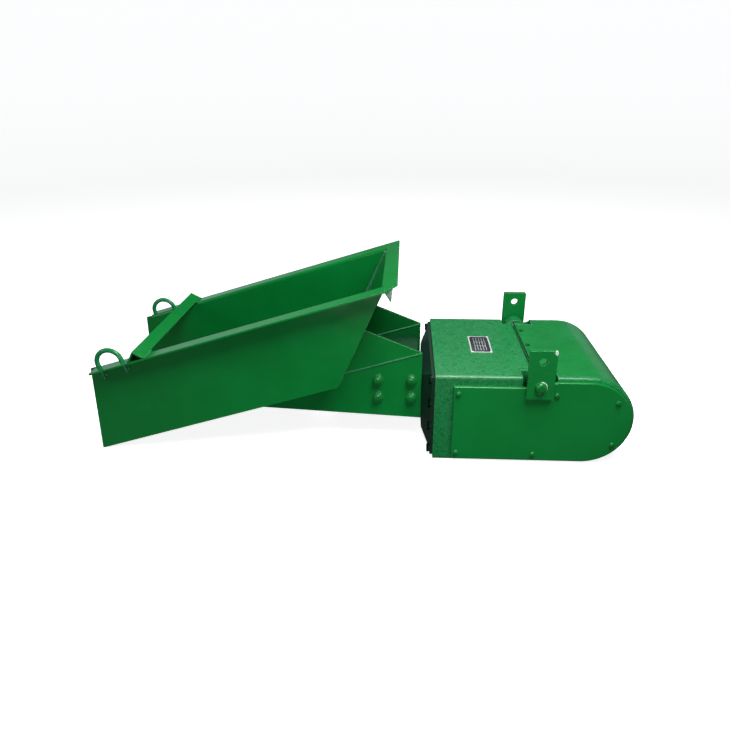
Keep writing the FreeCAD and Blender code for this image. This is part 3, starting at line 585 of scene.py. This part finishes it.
cast_paint = cast_enamel()
bridge_painted_shade = shaded_casting()
print("made", cast_paint.name, bridge_painted_shade.name)

# %% [markdown]
# ## Where the paint is thin
# The small gussets under the rear corners were hardly reached by the spray gun: grey primer shows
# through a mist of green. The weld metal at the lug bolts was added after painting and has none.

# %% Primer with a mist of green, and bare weld metal
def misted_primer():
    look = Finish("misted_primer")
    mist = look.noise(38.0, 4.0, 0.6)
    body = look.ramp(mist, [(0.35, (0.050, 0.22, 0.105)), (0.52, (0.22, 0.33, 0.25)),
                            (0.66, (0.46, 0.50, 0.45))])
    normal = look.bump(look.noise(260.0, 3.0), 0.0002, 0.8, look.soft_edges())
    return look.set(Base_Color=body, Roughness=0.5, Normal=normal, Specular_IOR_Level=0.4)


def bare_weld_metal():
    look = Finish("bare_weld_metal")
    grain = look.noise(220.0, 3.0)
    tint = look.ramp(grain, [(0.35, (0.42, 0.50, 0.42)), (0.65, (0.72, 0.76, 0.68))])
    normal = look.bump(grain, 0.0003, 0.8)
    return look.set(Base_Color=tint, Roughness=0.4, Normal=normal, Specular_IOR_Level=0.5)


primer = misted_primer()
bare_weld = bare_weld_metal()
print("made", primer.name, bare_weld.name)

# %% [markdown]
# ## Bare metals inside the drive
# Inside the drive there are machined carriers, ground leaf springs, a stack of thin laminations and a
# varnished coil. Machined steel shows fine parallel tool lines, so its noise is stretched along one
# axis; the stack shows one thin dark line for each sheet, and the coil one for each turn.

# %% Steel, springs, laminations and coil
def metal(name, colour, rough, lines, depth_of_lines):
    """Bare metal with tool lines, from how often they come along each axis."""
    look = Finish(name)
    streaks = look.noise(1.0, 2.0, 0.5, lines)
    tint = look.ramp(streaks, [(0.3, [c * 0.8 for c in colour]), (0.7, colour)])
    normal = look.bump(streaks, depth_of_lines, 0.5, look.soft_edges(0.001))
    roughness = look.grade(streaks, rough * 0.8, rough * 1.3)
    return look.set(Base_Color=tint, Metallic=1.0, Roughness=roughness, Normal=normal)


def banded(name, axis, scale, stops, depth_of_bands, **shader_values):
    """A finish whose colour and height come in parallel bands, one for each sheet or turn."""
    look = Finish(name)
    wave = look.node("TexWave")
    wave.bands_direction = axis
    wave.inputs["Scale"].default_value = scale
    wave.inputs["Distortion"].default_value = 0.3
    look.link(look.place, wave.inputs["Vector"])
    bands = wave.outputs["Fac"]
    return look.set(Base_Color=look.ramp(bands, stops), Normal=look.bump(bands, depth_of_bands, 0.9),
                    **shader_values)


machined = metal("machined_steel", (0.50, 0.50, 0.49), 0.34, (900.0, 40.0, 900.0), 0.00005)
ground = metal("ground_spring_steel", (0.30, 0.31, 0.33), 0.30, (40.0, 60.0, 1500.0), 0.00004)
stack = banded("laminated_stack", "Z", 160.0, [(0.1, (0.03, 0.03, 0.032)), (0.5, (0.17, 0.17, 0.18))],
               0.0003, Metallic=0.8, Roughness=0.45)
coil = banded("varnished_winding", "X", 90.0, [(0.1, (0.10, 0.02, 0.006)), (0.6, (0.42, 0.13, 0.04))],
              0.0008, Metallic=0.35, Roughness=0.32, Coat_Weight=0.5)
print("made", machined.name, ground.name, stack.name, coil.name)

# %% [markdown]
# ## Black rubber and black plate
# Round the neck one can see a black rubber hood on a black plate; the plate's black also paints the
# shade in the gap in front of the housing. Both got a mist of the machine's green, and a paler green
# on their edges is a painted highlight. The strip at the rear cover's edge paints the shade in its
# joint and stays black, with no highlight.

# %% Dull blacks
edge_highlight_green = (0.030, 0.095, 0.060)


def dull_black(name, dark, pale, grain_scale, grain_depth, rough, edge_highlight=1.0):
    look = Finish(name)
    grain = look.noise(grain_scale, 3.0)
    tint = look.ramp(grain, [(0.3, dark), (0.7, pale)])
    # Painted highlight: a paler green mixed in along the edges, where they catch the light.
    edge_highlight_share = look.grade(look.noise(60.0, 3.0), 0.15 * edge_highlight, 0.9 * edge_highlight)
    tint = look.mix(look.times(look.edge_share(0.0026, 0.72, 0.98), edge_highlight_share), tint, edge_highlight_green)
    normal = look.bump(grain, grain_depth, 0.6, look.soft_edges())
    return look.set(Base_Color=tint, Roughness=rough, Normal=normal, Specular_IOR_Level=0.25)


rubber = dull_black("hood_rubber", (0.003, 0.020, 0.011), (0.006, 0.044, 0.026), 380.0, 0.0002, 0.55)
# Painted shade: the seal plate and its bolts are black, standing in for the shade in the gap in front of the
# housing.
black_plate_shade_paint = dull_black("black_plate_painted_shade", (0.002, 0.014, 0.006), (0.004, 0.036, 0.016), 90.0, 0.0002, 0.5)
# Painted shade: a black with no highlight, for the gap in the rear cover's joint.
joint_shade_black = dull_black("joint_shade_black", (0.001, 0.006, 0.004), (0.002, 0.010, 0.006), 380.0, 0.0001, 0.85,
                       edge_highlight=0.0)
print("made", rubber.name, black_plate_shade_paint.name, joint_shade_black.name)

# %% [markdown]
# ## The name plate's metal
# The plate is thin aluminium with a black printed field, a little worn.

# %% Plate metal and black field
def plate_aluminium():
    look = Finish("plate_aluminium")
    brush = look.noise(1.0, 2.0, 0.5, (60.0, 1400.0, 60.0))
    tint = look.ramp(brush, [(0.3, (0.55, 0.57, 0.57)), (0.7, (0.80, 0.82, 0.82))])
    return look.set(Base_Color=tint, Metallic=0.4, Roughness=0.38, Normal=look.bump(brush, 0.00003, 0.5))


def plate_black():
    look = Finish("plate_black_field")
    wear = look.noise(240.0, 4.0, 0.65)
    tint = look.ramp(wear, [(0.45, (0.008, 0.012, 0.016)), (0.75, (0.05, 0.07, 0.08))])
    return look.set(Base_Color=tint, Roughness=look.grade(wear, 0.35, 0.55), Specular_IOR_Level=0.3)


aluminium = plate_aluminium()
black_field = plate_black()
print("made", aluminium.name, black_field.name)

# %% [markdown]
# ## Which piece has which finish
# The trough and its fork are plate, the housing and the bridge are castings, and everything that
# screws down was painted over with the rest.

# %% Give the frame's solids their finishes
finishes = [
    (sheet_paint, "trough_floor rear_wall cross_brace front_cross_plate"),
    (wall_paint_inner_shade, "side_wall_near side_wall_far"),
    (fork_paint_inner_shade, "fork_plate_near fork_plate_far fork_gusset_near fork_gusset_far"),
    (primer, "corner_gusset_near corner_gusset_far"),
    (ring_paint_lightened, "hanging_ring_near hanging_ring_far"),
    (bridge_painted_shade, "fork_bridge rear_cover_screws"),
    (cast_paint, "drive_housing"),
    (cover_paint, "rear_cover"),
    (lid_paint_rim_highlight, "side_cover_near side_cover_far"),
    (lug_paint, "hanging_lug_near hanging_lug_far"),
    (bolt_paint, "fork_bolts side_cover_bolts"),
    (worn_paint, "lug_bolts"),
    (black_plate_shade_paint, "front_seal_plate front_plate_bolts"),
    (rubber, "front_gasket neck_seal"),
    (aluminium, "name_plate name_plate_rivets"),
    (stack, "armature coil_core"),
    (coil, "coil_winding"),
    (ground, "leaf_springs"),
    (machined, "armature_carrier armature_bolts core_carrier gap_studs gap_stud_nuts middle_spacers "
               "end_spacers spring_clamps spring_end_bolts"),
]
finished = 0
for finish, names in finishes:
    for name in names.split():
        nodes[name].data.materials.clear()
        nodes[name].data.materials.append(finish)
        finished += 1
print("finished solids:", finished, "of", len(nodes))

# %% [markdown]
# ## Weld seams
# The trough is plates welded together, and its seams show as ropes of small ripples, one for each
# pause of the welder's hand. A seam could be a bump on the plates, but its outline shows at corners,
# so it is real geometry: a small disc drawn out step by step, a little fatter and thinner in turn,
# with each ripple's size left to chance.

# %% A bead from one point to another
chance = random.Random(11)
bead_sides = 8
ripple = 0.0045
thin_share = 0.86
swelling = 0.16
unevenness = 0.05
end_share = 0.45


def bead_between(bm, start, end, radius):
    """Draws a disc out along a line, swelling and shrinking like the ripples of a weld."""
    line = end - start
    steps = max(3, int(line.length / ripple) * 2)
    sizes = [radius * (thin_share + swelling * (step % 2) + chance.uniform(-unevenness, unevenness))
             for step in range(steps)]
    sizes = [radius * end_share, *sizes[1:], radius * end_share]
    disc = bmesh.ops.create_circle(bm, cap_ends=True, cap_tris=False, segments=bead_sides, radius=sizes[0],
                                   matrix=standing_on(start, line))
    faces = faces_of(disc["verts"])
    for step in range(1, steps + 1):
        drawn = bmesh.ops.extrude_face_region(bm, geom=faces)["geom"]
        ring = [piece for piece in drawn if isinstance(piece, bmesh.types.BMVert)]
        faces = [piece for piece in drawn if isinstance(piece, bmesh.types.BMFace)]
        growth = sizes[step] / sizes[step - 1]
        here = start + line * ((step - 1) / steps)
        for vert in ring:
            vert.co = start + line * (step / steps) + (vert.co - here) * growth


def seam(name, lines, radius, finish=sheet_paint):
    """One object of several beads, painted over with the plates it joins."""
    bm = bmesh.new()
    for start, end in lines:
        bead_between(bm, start, end, radius)
    bmesh.ops.recalc_face_normals(bm, faces=bm.faces)
    hand_over(name, bm, finish, "trough")


def along_side(start, end, y):
    """A line from one (u, v) place of the trough to another, all at the same y."""
    return on_trough(start[0], y, start[1]), on_trough(end[0], y, end[1])


def across(u, v, reach):
    """A line across the trough, from its near to its far side."""
    return on_trough(u, -reach, v), on_trough(u, reach, v)


print("a bead has", bead_sides, "sides and a ripple every", ripple, "m")

# %% [markdown]
# ## Seams of the trough
# Inside, a bead runs along each corner between floor, side walls and rear wall; the rear ones are the
# thickest and have a paler coat. Outside, the rear wall is welded along the slanted edges of the side
# walls. Each bead stops a little short of the plates' ends, as a welder's does.

# %% Trough corner beads
along = plate / math.sin(rear_lean)
foot = floor_length + plate / math.tan(rear_lean)
inner_foot = foot - along
inner_top = rear_top - along
sunk = 0.001
floor_seam = ((0.012, plate + sunk), (inner_foot - 0.004, plate + sunk))
rear_corner_seam = ((inner_foot - 0.002, plate + 0.006), (inner_top - 0.008, depth - 0.012))
rear_wall_seam = ((floor_length + 0.003, 0.002), (rear_top - 0.012, depth - 0.016))
rear_corner_inset = 0.0030

for name, sign in side.items():
    floor_line = along_side(*floor_seam, sign * (half_width - sunk))
    rear_corner_line = along_side(*rear_corner_seam, sign * (half_width - rear_corner_inset))
    rear_wall_line = along_side(*rear_wall_seam, sign * half_width)
    seam(f"weld_floor_{name}", [floor_line], radius=0.0042)
    seam(f"weld_rear_corner_{name}", [rear_corner_line], radius=0.0058, finish=seam_paint)
    seam(f"weld_rear_wall_{name}", [rear_wall_line], radius=0.0034)
inner_line = across(inner_foot, plate + sunk, half_width - 0.006)
outer_line = across(floor_length + sunk, 0.0005, half_width - 0.004)
seam("weld_floor_to_rear_wall", [inner_line, outer_line], radius=0.0038)

# %% [markdown]
# ## Hanging rings
# Each ring is a round bar bent to half a circle, with two straight legs through the flange. A curve
# with a round bevel would do, but a disc that is drawn up the first leg, spun over the top and drawn
# down the second leg shows how the bar is bent. It takes the place of the frame's own ring, whose bar
# is drawn with flats.

# %% Bend the rings
bar_radius = 0.008
bend_radius = 0.042
ring_place = 0.058
ring_middle = flange_front + ring_place
ring_rise = 0.006
ring_drop = 0.042


def drawn_out(bm, faces, travel):
    """Extrudes faces by a travel and gives the faces at the far end."""
    drawn = bmesh.ops.extrude_face_region(bm, geom=faces)["geom"]
    verts = [piece for piece in drawn if isinstance(piece, bmesh.types.BMVert)]
    bmesh.ops.translate(bm, vec=travel, verts=verts)
    return [piece for piece in drawn if isinstance(piece, bmesh.types.BMFace)]


for name, sign in side.items():
    y = sign * (half_width + plate + bar_radius)
    bm = bmesh.new()
    leg_end = Vector((ring_middle - bend_radius, y, depth - ring_drop))
    disc = bmesh.ops.create_circle(bm, cap_ends=True, cap_tris=False, segments=20, radius=bar_radius,
                                   matrix=Matrix.Translation(leg_end))
    faces = faces_of(disc["verts"])
    faces = drawn_out(bm, faces, (0, 0, ring_drop + ring_rise))
    bow = bmesh.ops.spin(bm, geom=faces, cent=(ring_middle, y, depth + ring_rise), axis=(0, 1, 0),
                         dvec=(0, 0, 0), angle=math.pi, steps=28, use_duplicate=False)
    faces = [piece for piece in bow["geom_last"] if isinstance(piece, bmesh.types.BMFace)]
    drawn_out(bm, faces, (0, 0, -ring_drop - ring_rise))
    bmesh.ops.recalc_face_normals(bm, faces=bm.faces)
    bmesh.ops.transform(bm, matrix=from_trough, verts=bm.verts)
    ring = hand_over(f"bent_ring_{name}", bm, ring_paint_lightened, "trough")
    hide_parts(f"hanging_ring_{name}")

# %% [markdown]
# ## Seams of the brace and the rings
# The angle iron is tacked to the flanges along its two feet. The rings' legs are welded down the
# outside of the walls, on both sides of each leg.

# %% Brace and ring beads
brace_place = 0.172
angle_leg = 0.040
ridge = flange_front + brace_place
foot_reach = angle_leg * math.sqrt(0.5)
beside_plate = 0.0015
past_flange = 0.004
ring_weld_top = depth - 0.013
ring_weld_end = depth - 0.041

for name, sign in side.items():
    lines = []
    for way in (-1, 1):
        u = ridge + way * (foot_reach + beside_plate)
        lines.append((on_trough(u, sign * (half_width - past_flange), depth + sunk),
                      on_trough(u, sign * (half_width + flange + past_flange), depth + sunk)))
    seam(f"weld_brace_{name}", lines, radius=0.0042)
    lines = []
    y = sign * (half_width + plate + beside_plate)
    for leg in (ring_middle - bend_radius, ring_middle + bend_radius):
        for way in (-1, 1):
            u = leg + way * (bar_radius - sunk)
            lines.append(along_side((u, ring_weld_end), (u, ring_weld_top), y))
    seam(f"weld_ring_{name}", lines, radius=0.0028)

# %% [markdown]
# ## Seams of the fork
# The fork plates hang from the floor on long beads, one on each side of a plate, and a gusset carries
# each of them on up the rear wall. A gusset has beads at its foot, on the fork plate, and at its seat
# on the rear wall. The faces of both are given by how far they lie from the middle plane.

# %% Fork beads
fork_low, fork_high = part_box("fork_plate_near")
floor_rear = on_trough(floor_length, 0, 0)
fork_faces = (0.150, 0.138)
gusset_faces = (0.149, 0.139)
beside_gusset = 0.0005
gusset_seat = 0.182
gusset_rise = slope + rear_lean
stop_short = 0.004
fork_start_x = fork_low.x + stop_short
fork_start_z = (fork_start_x - lip_x) * math.tan(slope) - sunk
foot_end = (fork_high.x - stop_short, fork_high.z - 0.002)
seat_end = (floor_rear.x + gusset_seat * math.cos(gusset_rise),
            floor_rear.z + gusset_seat * math.sin(gusset_rise))


def bead_places(sign, faces, beside):
    """The y of a bead outside the outer face of a plate, and of one inside its inner face."""
    return sign * (faces[0] + beside), sign * (faces[1] - beside)


def level_line(start, end, y):
    """A line from one (x, z) place of the machine to another, all at the same y."""
    return Vector((start[0], y, start[1])), Vector((end[0], y, end[1]))


for name, sign in side.items():
    floor_lines = [level_line((fork_start_x, fork_start_z), (floor_rear.x - 0.002, floor_rear.z - 0.002), y)
                   for y in bead_places(sign, fork_faces, beside_plate)]
    seam(f"weld_fork_to_floor_{name}", floor_lines, radius=0.0036)
    gusset_lines = []
    for y in bead_places(sign, gusset_faces, beside_gusset):
        gusset_lines.append(level_line((floor_rear.x + stop_short, floor_rear.z + 0.001), foot_end, y))
        gusset_lines.append(level_line((floor_rear.x + stop_short, floor_rear.z + 0.006), seat_end, y))
    seam(f"weld_fork_gusset_{name}", gusset_lines, radius=0.0030, finish=seam_paint)

# %% [markdown]
# ## Where the bolts sit
# The frame's solids say where each bolt sits, so the new ones are built on their boxes. A node of
# bolts holds several solids: points that share an edge belong to the same one.

# %% Boxes of the separate solids in a node
forwards, sideways, upright = 0, 1, 2


def solid_boxes(name):
    """Lowest and highest corners of each separate solid of a node."""
    bm = bmesh.new()
    bm.from_mesh(nodes[name].data)
    bmesh.ops.remove_doubles(bm, verts=bm.verts, dist=1e-6)
    left = set(bm.verts)
    boxes = []
    while left:
        seeds = [left.pop()]
        found = []
        while seeds:
            vert = seeds.pop()
            found.append(vert.co.copy())
            near = {edge.other_vert(vert) for edge in vert.link_edges} & left
            left -= near
            seeds += near
        boxes.append((Vector([min(c) for c in zip(*found)]), Vector([max(c) for c in zip(*found)])))
    bm.free()
    return sorted(boxes, key=lambda corners: tuple(round(c, 4) for c in corners[0]))


def head_side(low, high, axis):
    """Tip of a bolt's head and its outward direction: forwards, up, or away from the middle plane."""
    tip = (low + high) / 2
    way = -1 if axis == forwards or tip[axis] < 0 else 1
    tip[axis] = low[axis] if way < 0 else high[axis]
    outward = Vector((0, 0, 0))
    outward[axis] = way
    return tip, outward


print("fork bolts found:", len(solid_boxes("fork_bolts")))

# %% [markdown]
# ## Hexagon bolts
# A forged bolt head isn't a plain prism: its crown is turned to a cone, which cuts a shallow arc into
# each of the six sides. A disc of 24 points is drawn out to the hexagon's outline, extruded up, and
# each top point is lowered by its distance from the middle; a smaller disc closes the crown.

# %% A bolt with a turned crown
head_points = 24
crown_slope = math.tan(math.radians(30))
half_flats_share = 0.75
head_height_share = 0.65
crown_share = 0.95
washer_share = 0.15
washer_rim = 0.0006


def hex_head(bm, place, diameter):
    """Head standing on z = 0 of its place, 1.5 diameters across its flats."""
    half_flats = diameter * half_flats_share
    height = diameter * head_height_share
    crown = half_flats * crown_share
    disc = bmesh.ops.create_circle(bm, cap_ends=True, cap_tris=False, segments=head_points, radius=crown)
    verts = list(disc["verts"])
    for vert in verts:
        from_flat = math.atan2(vert.co.y, vert.co.x) % math.radians(60) - math.radians(30)
        vert.co *= half_flats / math.cos(from_flat) / crown
    top = drawn_out(bm, faces_of(verts), (0, 0, height))
    rim = list(top[0].verts)
    for vert in rim:
        vert.co.z -= (vert.co.xy.length - crown) * crown_slope
    cap = drawn_out(bm, top, (0, 0, 0))
    for vert in cap[0].verts:
        out = vert.co.xy.normalized() * crown
        vert.co = Vector((out.x, out.y, height))
    bmesh.ops.transform(bm, matrix=place, verts=verts + rim + list(cap[0].verts))


def bolt(bm, tip, outward, diameter, length, washer):
    """Whole bolt: its head's top is at the tip, and its length runs back from there."""
    thickness = diameter * washer_share if washer else 0.0
    seat = tip - outward * (diameter * head_height_share)
    hex_head(bm, standing_on(seat, outward), diameter)
    if washer:
        turned(bm, [(0, 0), (diameter - washer_rim, 0), (diameter, washer_rim),
                    (diameter, thickness - washer_rim), (diameter - washer_rim, thickness),
                    (0, thickness)], 32, standing_on(seat - outward * thickness, outward))
    shank = length - diameter * head_height_share
    turned(bm, [(0, 0), (diameter * 0.46, 0), (diameter * 0.5, diameter * 0.04), (diameter * 0.5, shank),
                (0, shank)], 16, standing_on(tip - outward * length, outward))


# %% Bolts all over the machine
def bolts_for(node, diameter, axis, washer, body, finish):
    """Replaces a node of bolts that stand along one axis."""
    bm = bmesh.new()
    for low, high in solid_boxes(node):
        tip, outward = head_side(low, high, axis)
        bolt(bm, tip, outward, diameter, high[axis] - low[axis], washer)
    bmesh.ops.recalc_face_normals(bm, faces=bm.faces)
    made = hand_over(f"forged_{node}", bm, finish, body)
    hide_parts(node)


bolts_for("fork_bolts", 0.020, sideways, True, "trough", bolt_paint)
bolts_for("side_cover_bolts", 0.010, sideways, False, "drive", bolt_paint)
bolts_for("front_plate_bolts", 0.016, forwards, False, "drive", black_plate_shade_paint)

# %% [markdown]
# ## Round heads
# The lug bolts, the rear cover's screws and the name plate's rivets have round heads. Each is a
# profile turned on a lathe: its rim is rounded by a few points, so that it catches a bright crescent.

# %% Turn the round heads
rim_points = 6
shortest_stem = 0.001


def dome(radius, height, flat):
    """Profile of a round head from its rim at z = 0 to its middle, with a flat share on its top."""
    rim = [(radius, 0.0)]
    for step in range(1, rim_points + 1):
        angle = math.pi / 2 * step / rim_points
        rim.append((radius * (flat + (1 - flat) * math.cos(angle)), height * math.sin(angle)))
    return [*rim, (0.0, height)]


def round_heads(node, axis, finish, segments, radius, height, shank, flat=0.55):
    """Replaces a node of round-headed bolts, screws or rivets of the drive."""
    bm = bmesh.new()
    for low, high in solid_boxes(node):
        tip, outward = head_side(low, high, axis)
        stem = high[axis] - low[axis] - height
        profile = [(0, -stem), (shank, -stem), (shank, 0)] if stem > shortest_stem else [(0, 0)]
        profile += dome(radius, height, flat)
        turned(bm, profile, segments, standing_on(tip - outward * height, outward))
    made = hand_over(f"turned_{node}", bm, finish, "drive")
    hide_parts(node)


round_heads("lug_bolts", sideways, worn_paint, 40, radius=0.019, height=0.013, shank=0.015)
# Painted shade: the rear cover's screws take the bridge's dark enamel, which stands in for the shade round
# their heads.
round_heads("rear_cover_screws", upright, bridge_painted_shade, 24,
            radius=0.008, height=0.004, shank=0.004)
round_heads("name_plate_rivets", upright, aluminium, 16,
            radius=0.003, height=0.0015, shank=0.003, flat=0.2)

# %% [markdown]
# ## A bare tack at each lug bolt
# The lug bolts are held from turning by a short weld round the rear half of their heads. It was done
# after painting, so it is bare. A small disc spun round the head's rim draws it.

# %% Tacks
tack_radius = 0.0021
tack_proud = 0.0008
head_rim = 0.0190
tack_turn = math.radians(200)

for name, sign in side.items():
    low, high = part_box(f"hanging_lug_{name}")
    lug_face = low.y if sign < 0 else high.y
    bolt_low, bolt_high = min(solid_boxes("lug_bolts"), key=lambda corners: -sign * corners[0].y)
    middle = (bolt_low + bolt_high) / 2
    middle.y = lug_face + sign * tack_proud
    bm = bmesh.new()
    disc = bmesh.ops.create_circle(bm, cap_ends=True, cap_tris=False, segments=10, radius=tack_radius,
                                   matrix=standing_on(middle + Vector((0, 0, head_rim)), (1, 0, 0)))
    faces = faces_of(disc["verts"])
    bmesh.ops.spin(bm, geom=faces, cent=middle, axis=(0, 1, 0), dvec=(0, 0, 0), angle=tack_turn,
                   steps=26, use_duplicate=False)
    bmesh.ops.recalc_face_normals(bm, faces=bm.faces)
    hand_over(f"lug_tack_{name}", bm, bare_weld, "drive")

# %% [markdown]
# ## The name plate's face
# A small plate is riveted to the housing's top. It has a black field with a pale rim round it and
# ruled lines on it, which stand up a little from the black.

# %% The plate's black field
plate_low, plate_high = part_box("name_plate")
pale_rim = 0.0045
ink = 0.0003
softened = 0.0001


def thin_block(bm, x0, x1, y0, y1, z0, z1):
    """A thin block with its edges taken off."""
    verts = bmesh.ops.create_cube(bm, size=1.0)["verts"]
    bmesh.ops.scale(bm, vec=(x1 - x0, y1 - y0, z1 - z0), verts=verts)
    bmesh.ops.translate(bm, vec=((x0 + x1) / 2, (y0 + y1) / 2, (z0 + z1) / 2), verts=verts)
    edges = list(dict.fromkeys(edge for vert in verts for edge in vert.link_edges))
    bmesh.ops.bevel(bm, geom=edges, offset=softened, offset_type="OFFSET", segments=2, profile=0.5,
                    affect="EDGES", material=-1, clamp_overlap=True)


field_x0, field_x1 = plate_low.x + pale_rim, plate_high.x - pale_rim
field_y0, field_y1 = plate_low.y + pale_rim, plate_high.y - pale_rim
bm = bmesh.new()
thin_block(bm, field_x0, field_x1, field_y0, field_y1, plate_high.z - ink, plate_high.z + ink)
hand_over("name_plate_field", bm, black_field, "drive")

# %% The form's lines
rows = 6
columns = (0.38, 0.62)
line_width = 0.0014
margin = 0.004
inset = 0.012
row_step = (field_x1 - field_x0 - 2 * margin) / rows


def form_line(bm, x0, x1, y0, y1):
    """A raised line on the black field."""
    thin_block(bm, x0, x1, y0, y1, plate_high.z, plate_high.z + 2 * ink)


bm = bmesh.new()
for row in range(1, rows):
    x = field_x0 + margin + row * row_step
    form_line(bm, x - line_width / 2, x + line_width / 2, field_y0 + inset, field_y1 - inset)
for share in columns:
    y = plate_low.y + (plate_high.y - plate_low.y) * share
    form_line(bm, field_x0 + margin + row_step, field_x1 - margin - row_step,
              y - line_width / 2, y + line_width / 2)
hand_over("name_plate_form", bm, aluminium, "drive")

# %% [markdown]
# ## A dark strip at the rear cover's edge
# Where the bent cover meets the casting, a flat black strip lies in the joint: painted shade for the
# gap, which shows as a dark line across the top.

# %% Strip of painted shade
strip_width = 0.0042
strip_half_length = 0.205
strip_proud = 0.0006
strip_sunk = 0.001
under_cover = 0.0005
housing_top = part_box("drive_housing")[1].z
strip_x1 = cover_low.x + under_cover
bm = bmesh.new()
thin_block(bm, strip_x1 - strip_width, strip_x1, -strip_half_length, strip_half_length,
           housing_top - strip_sunk, housing_top + strip_proud)
hand_over("cover_joint_shade_strip", bm, joint_shade_black, "drive")
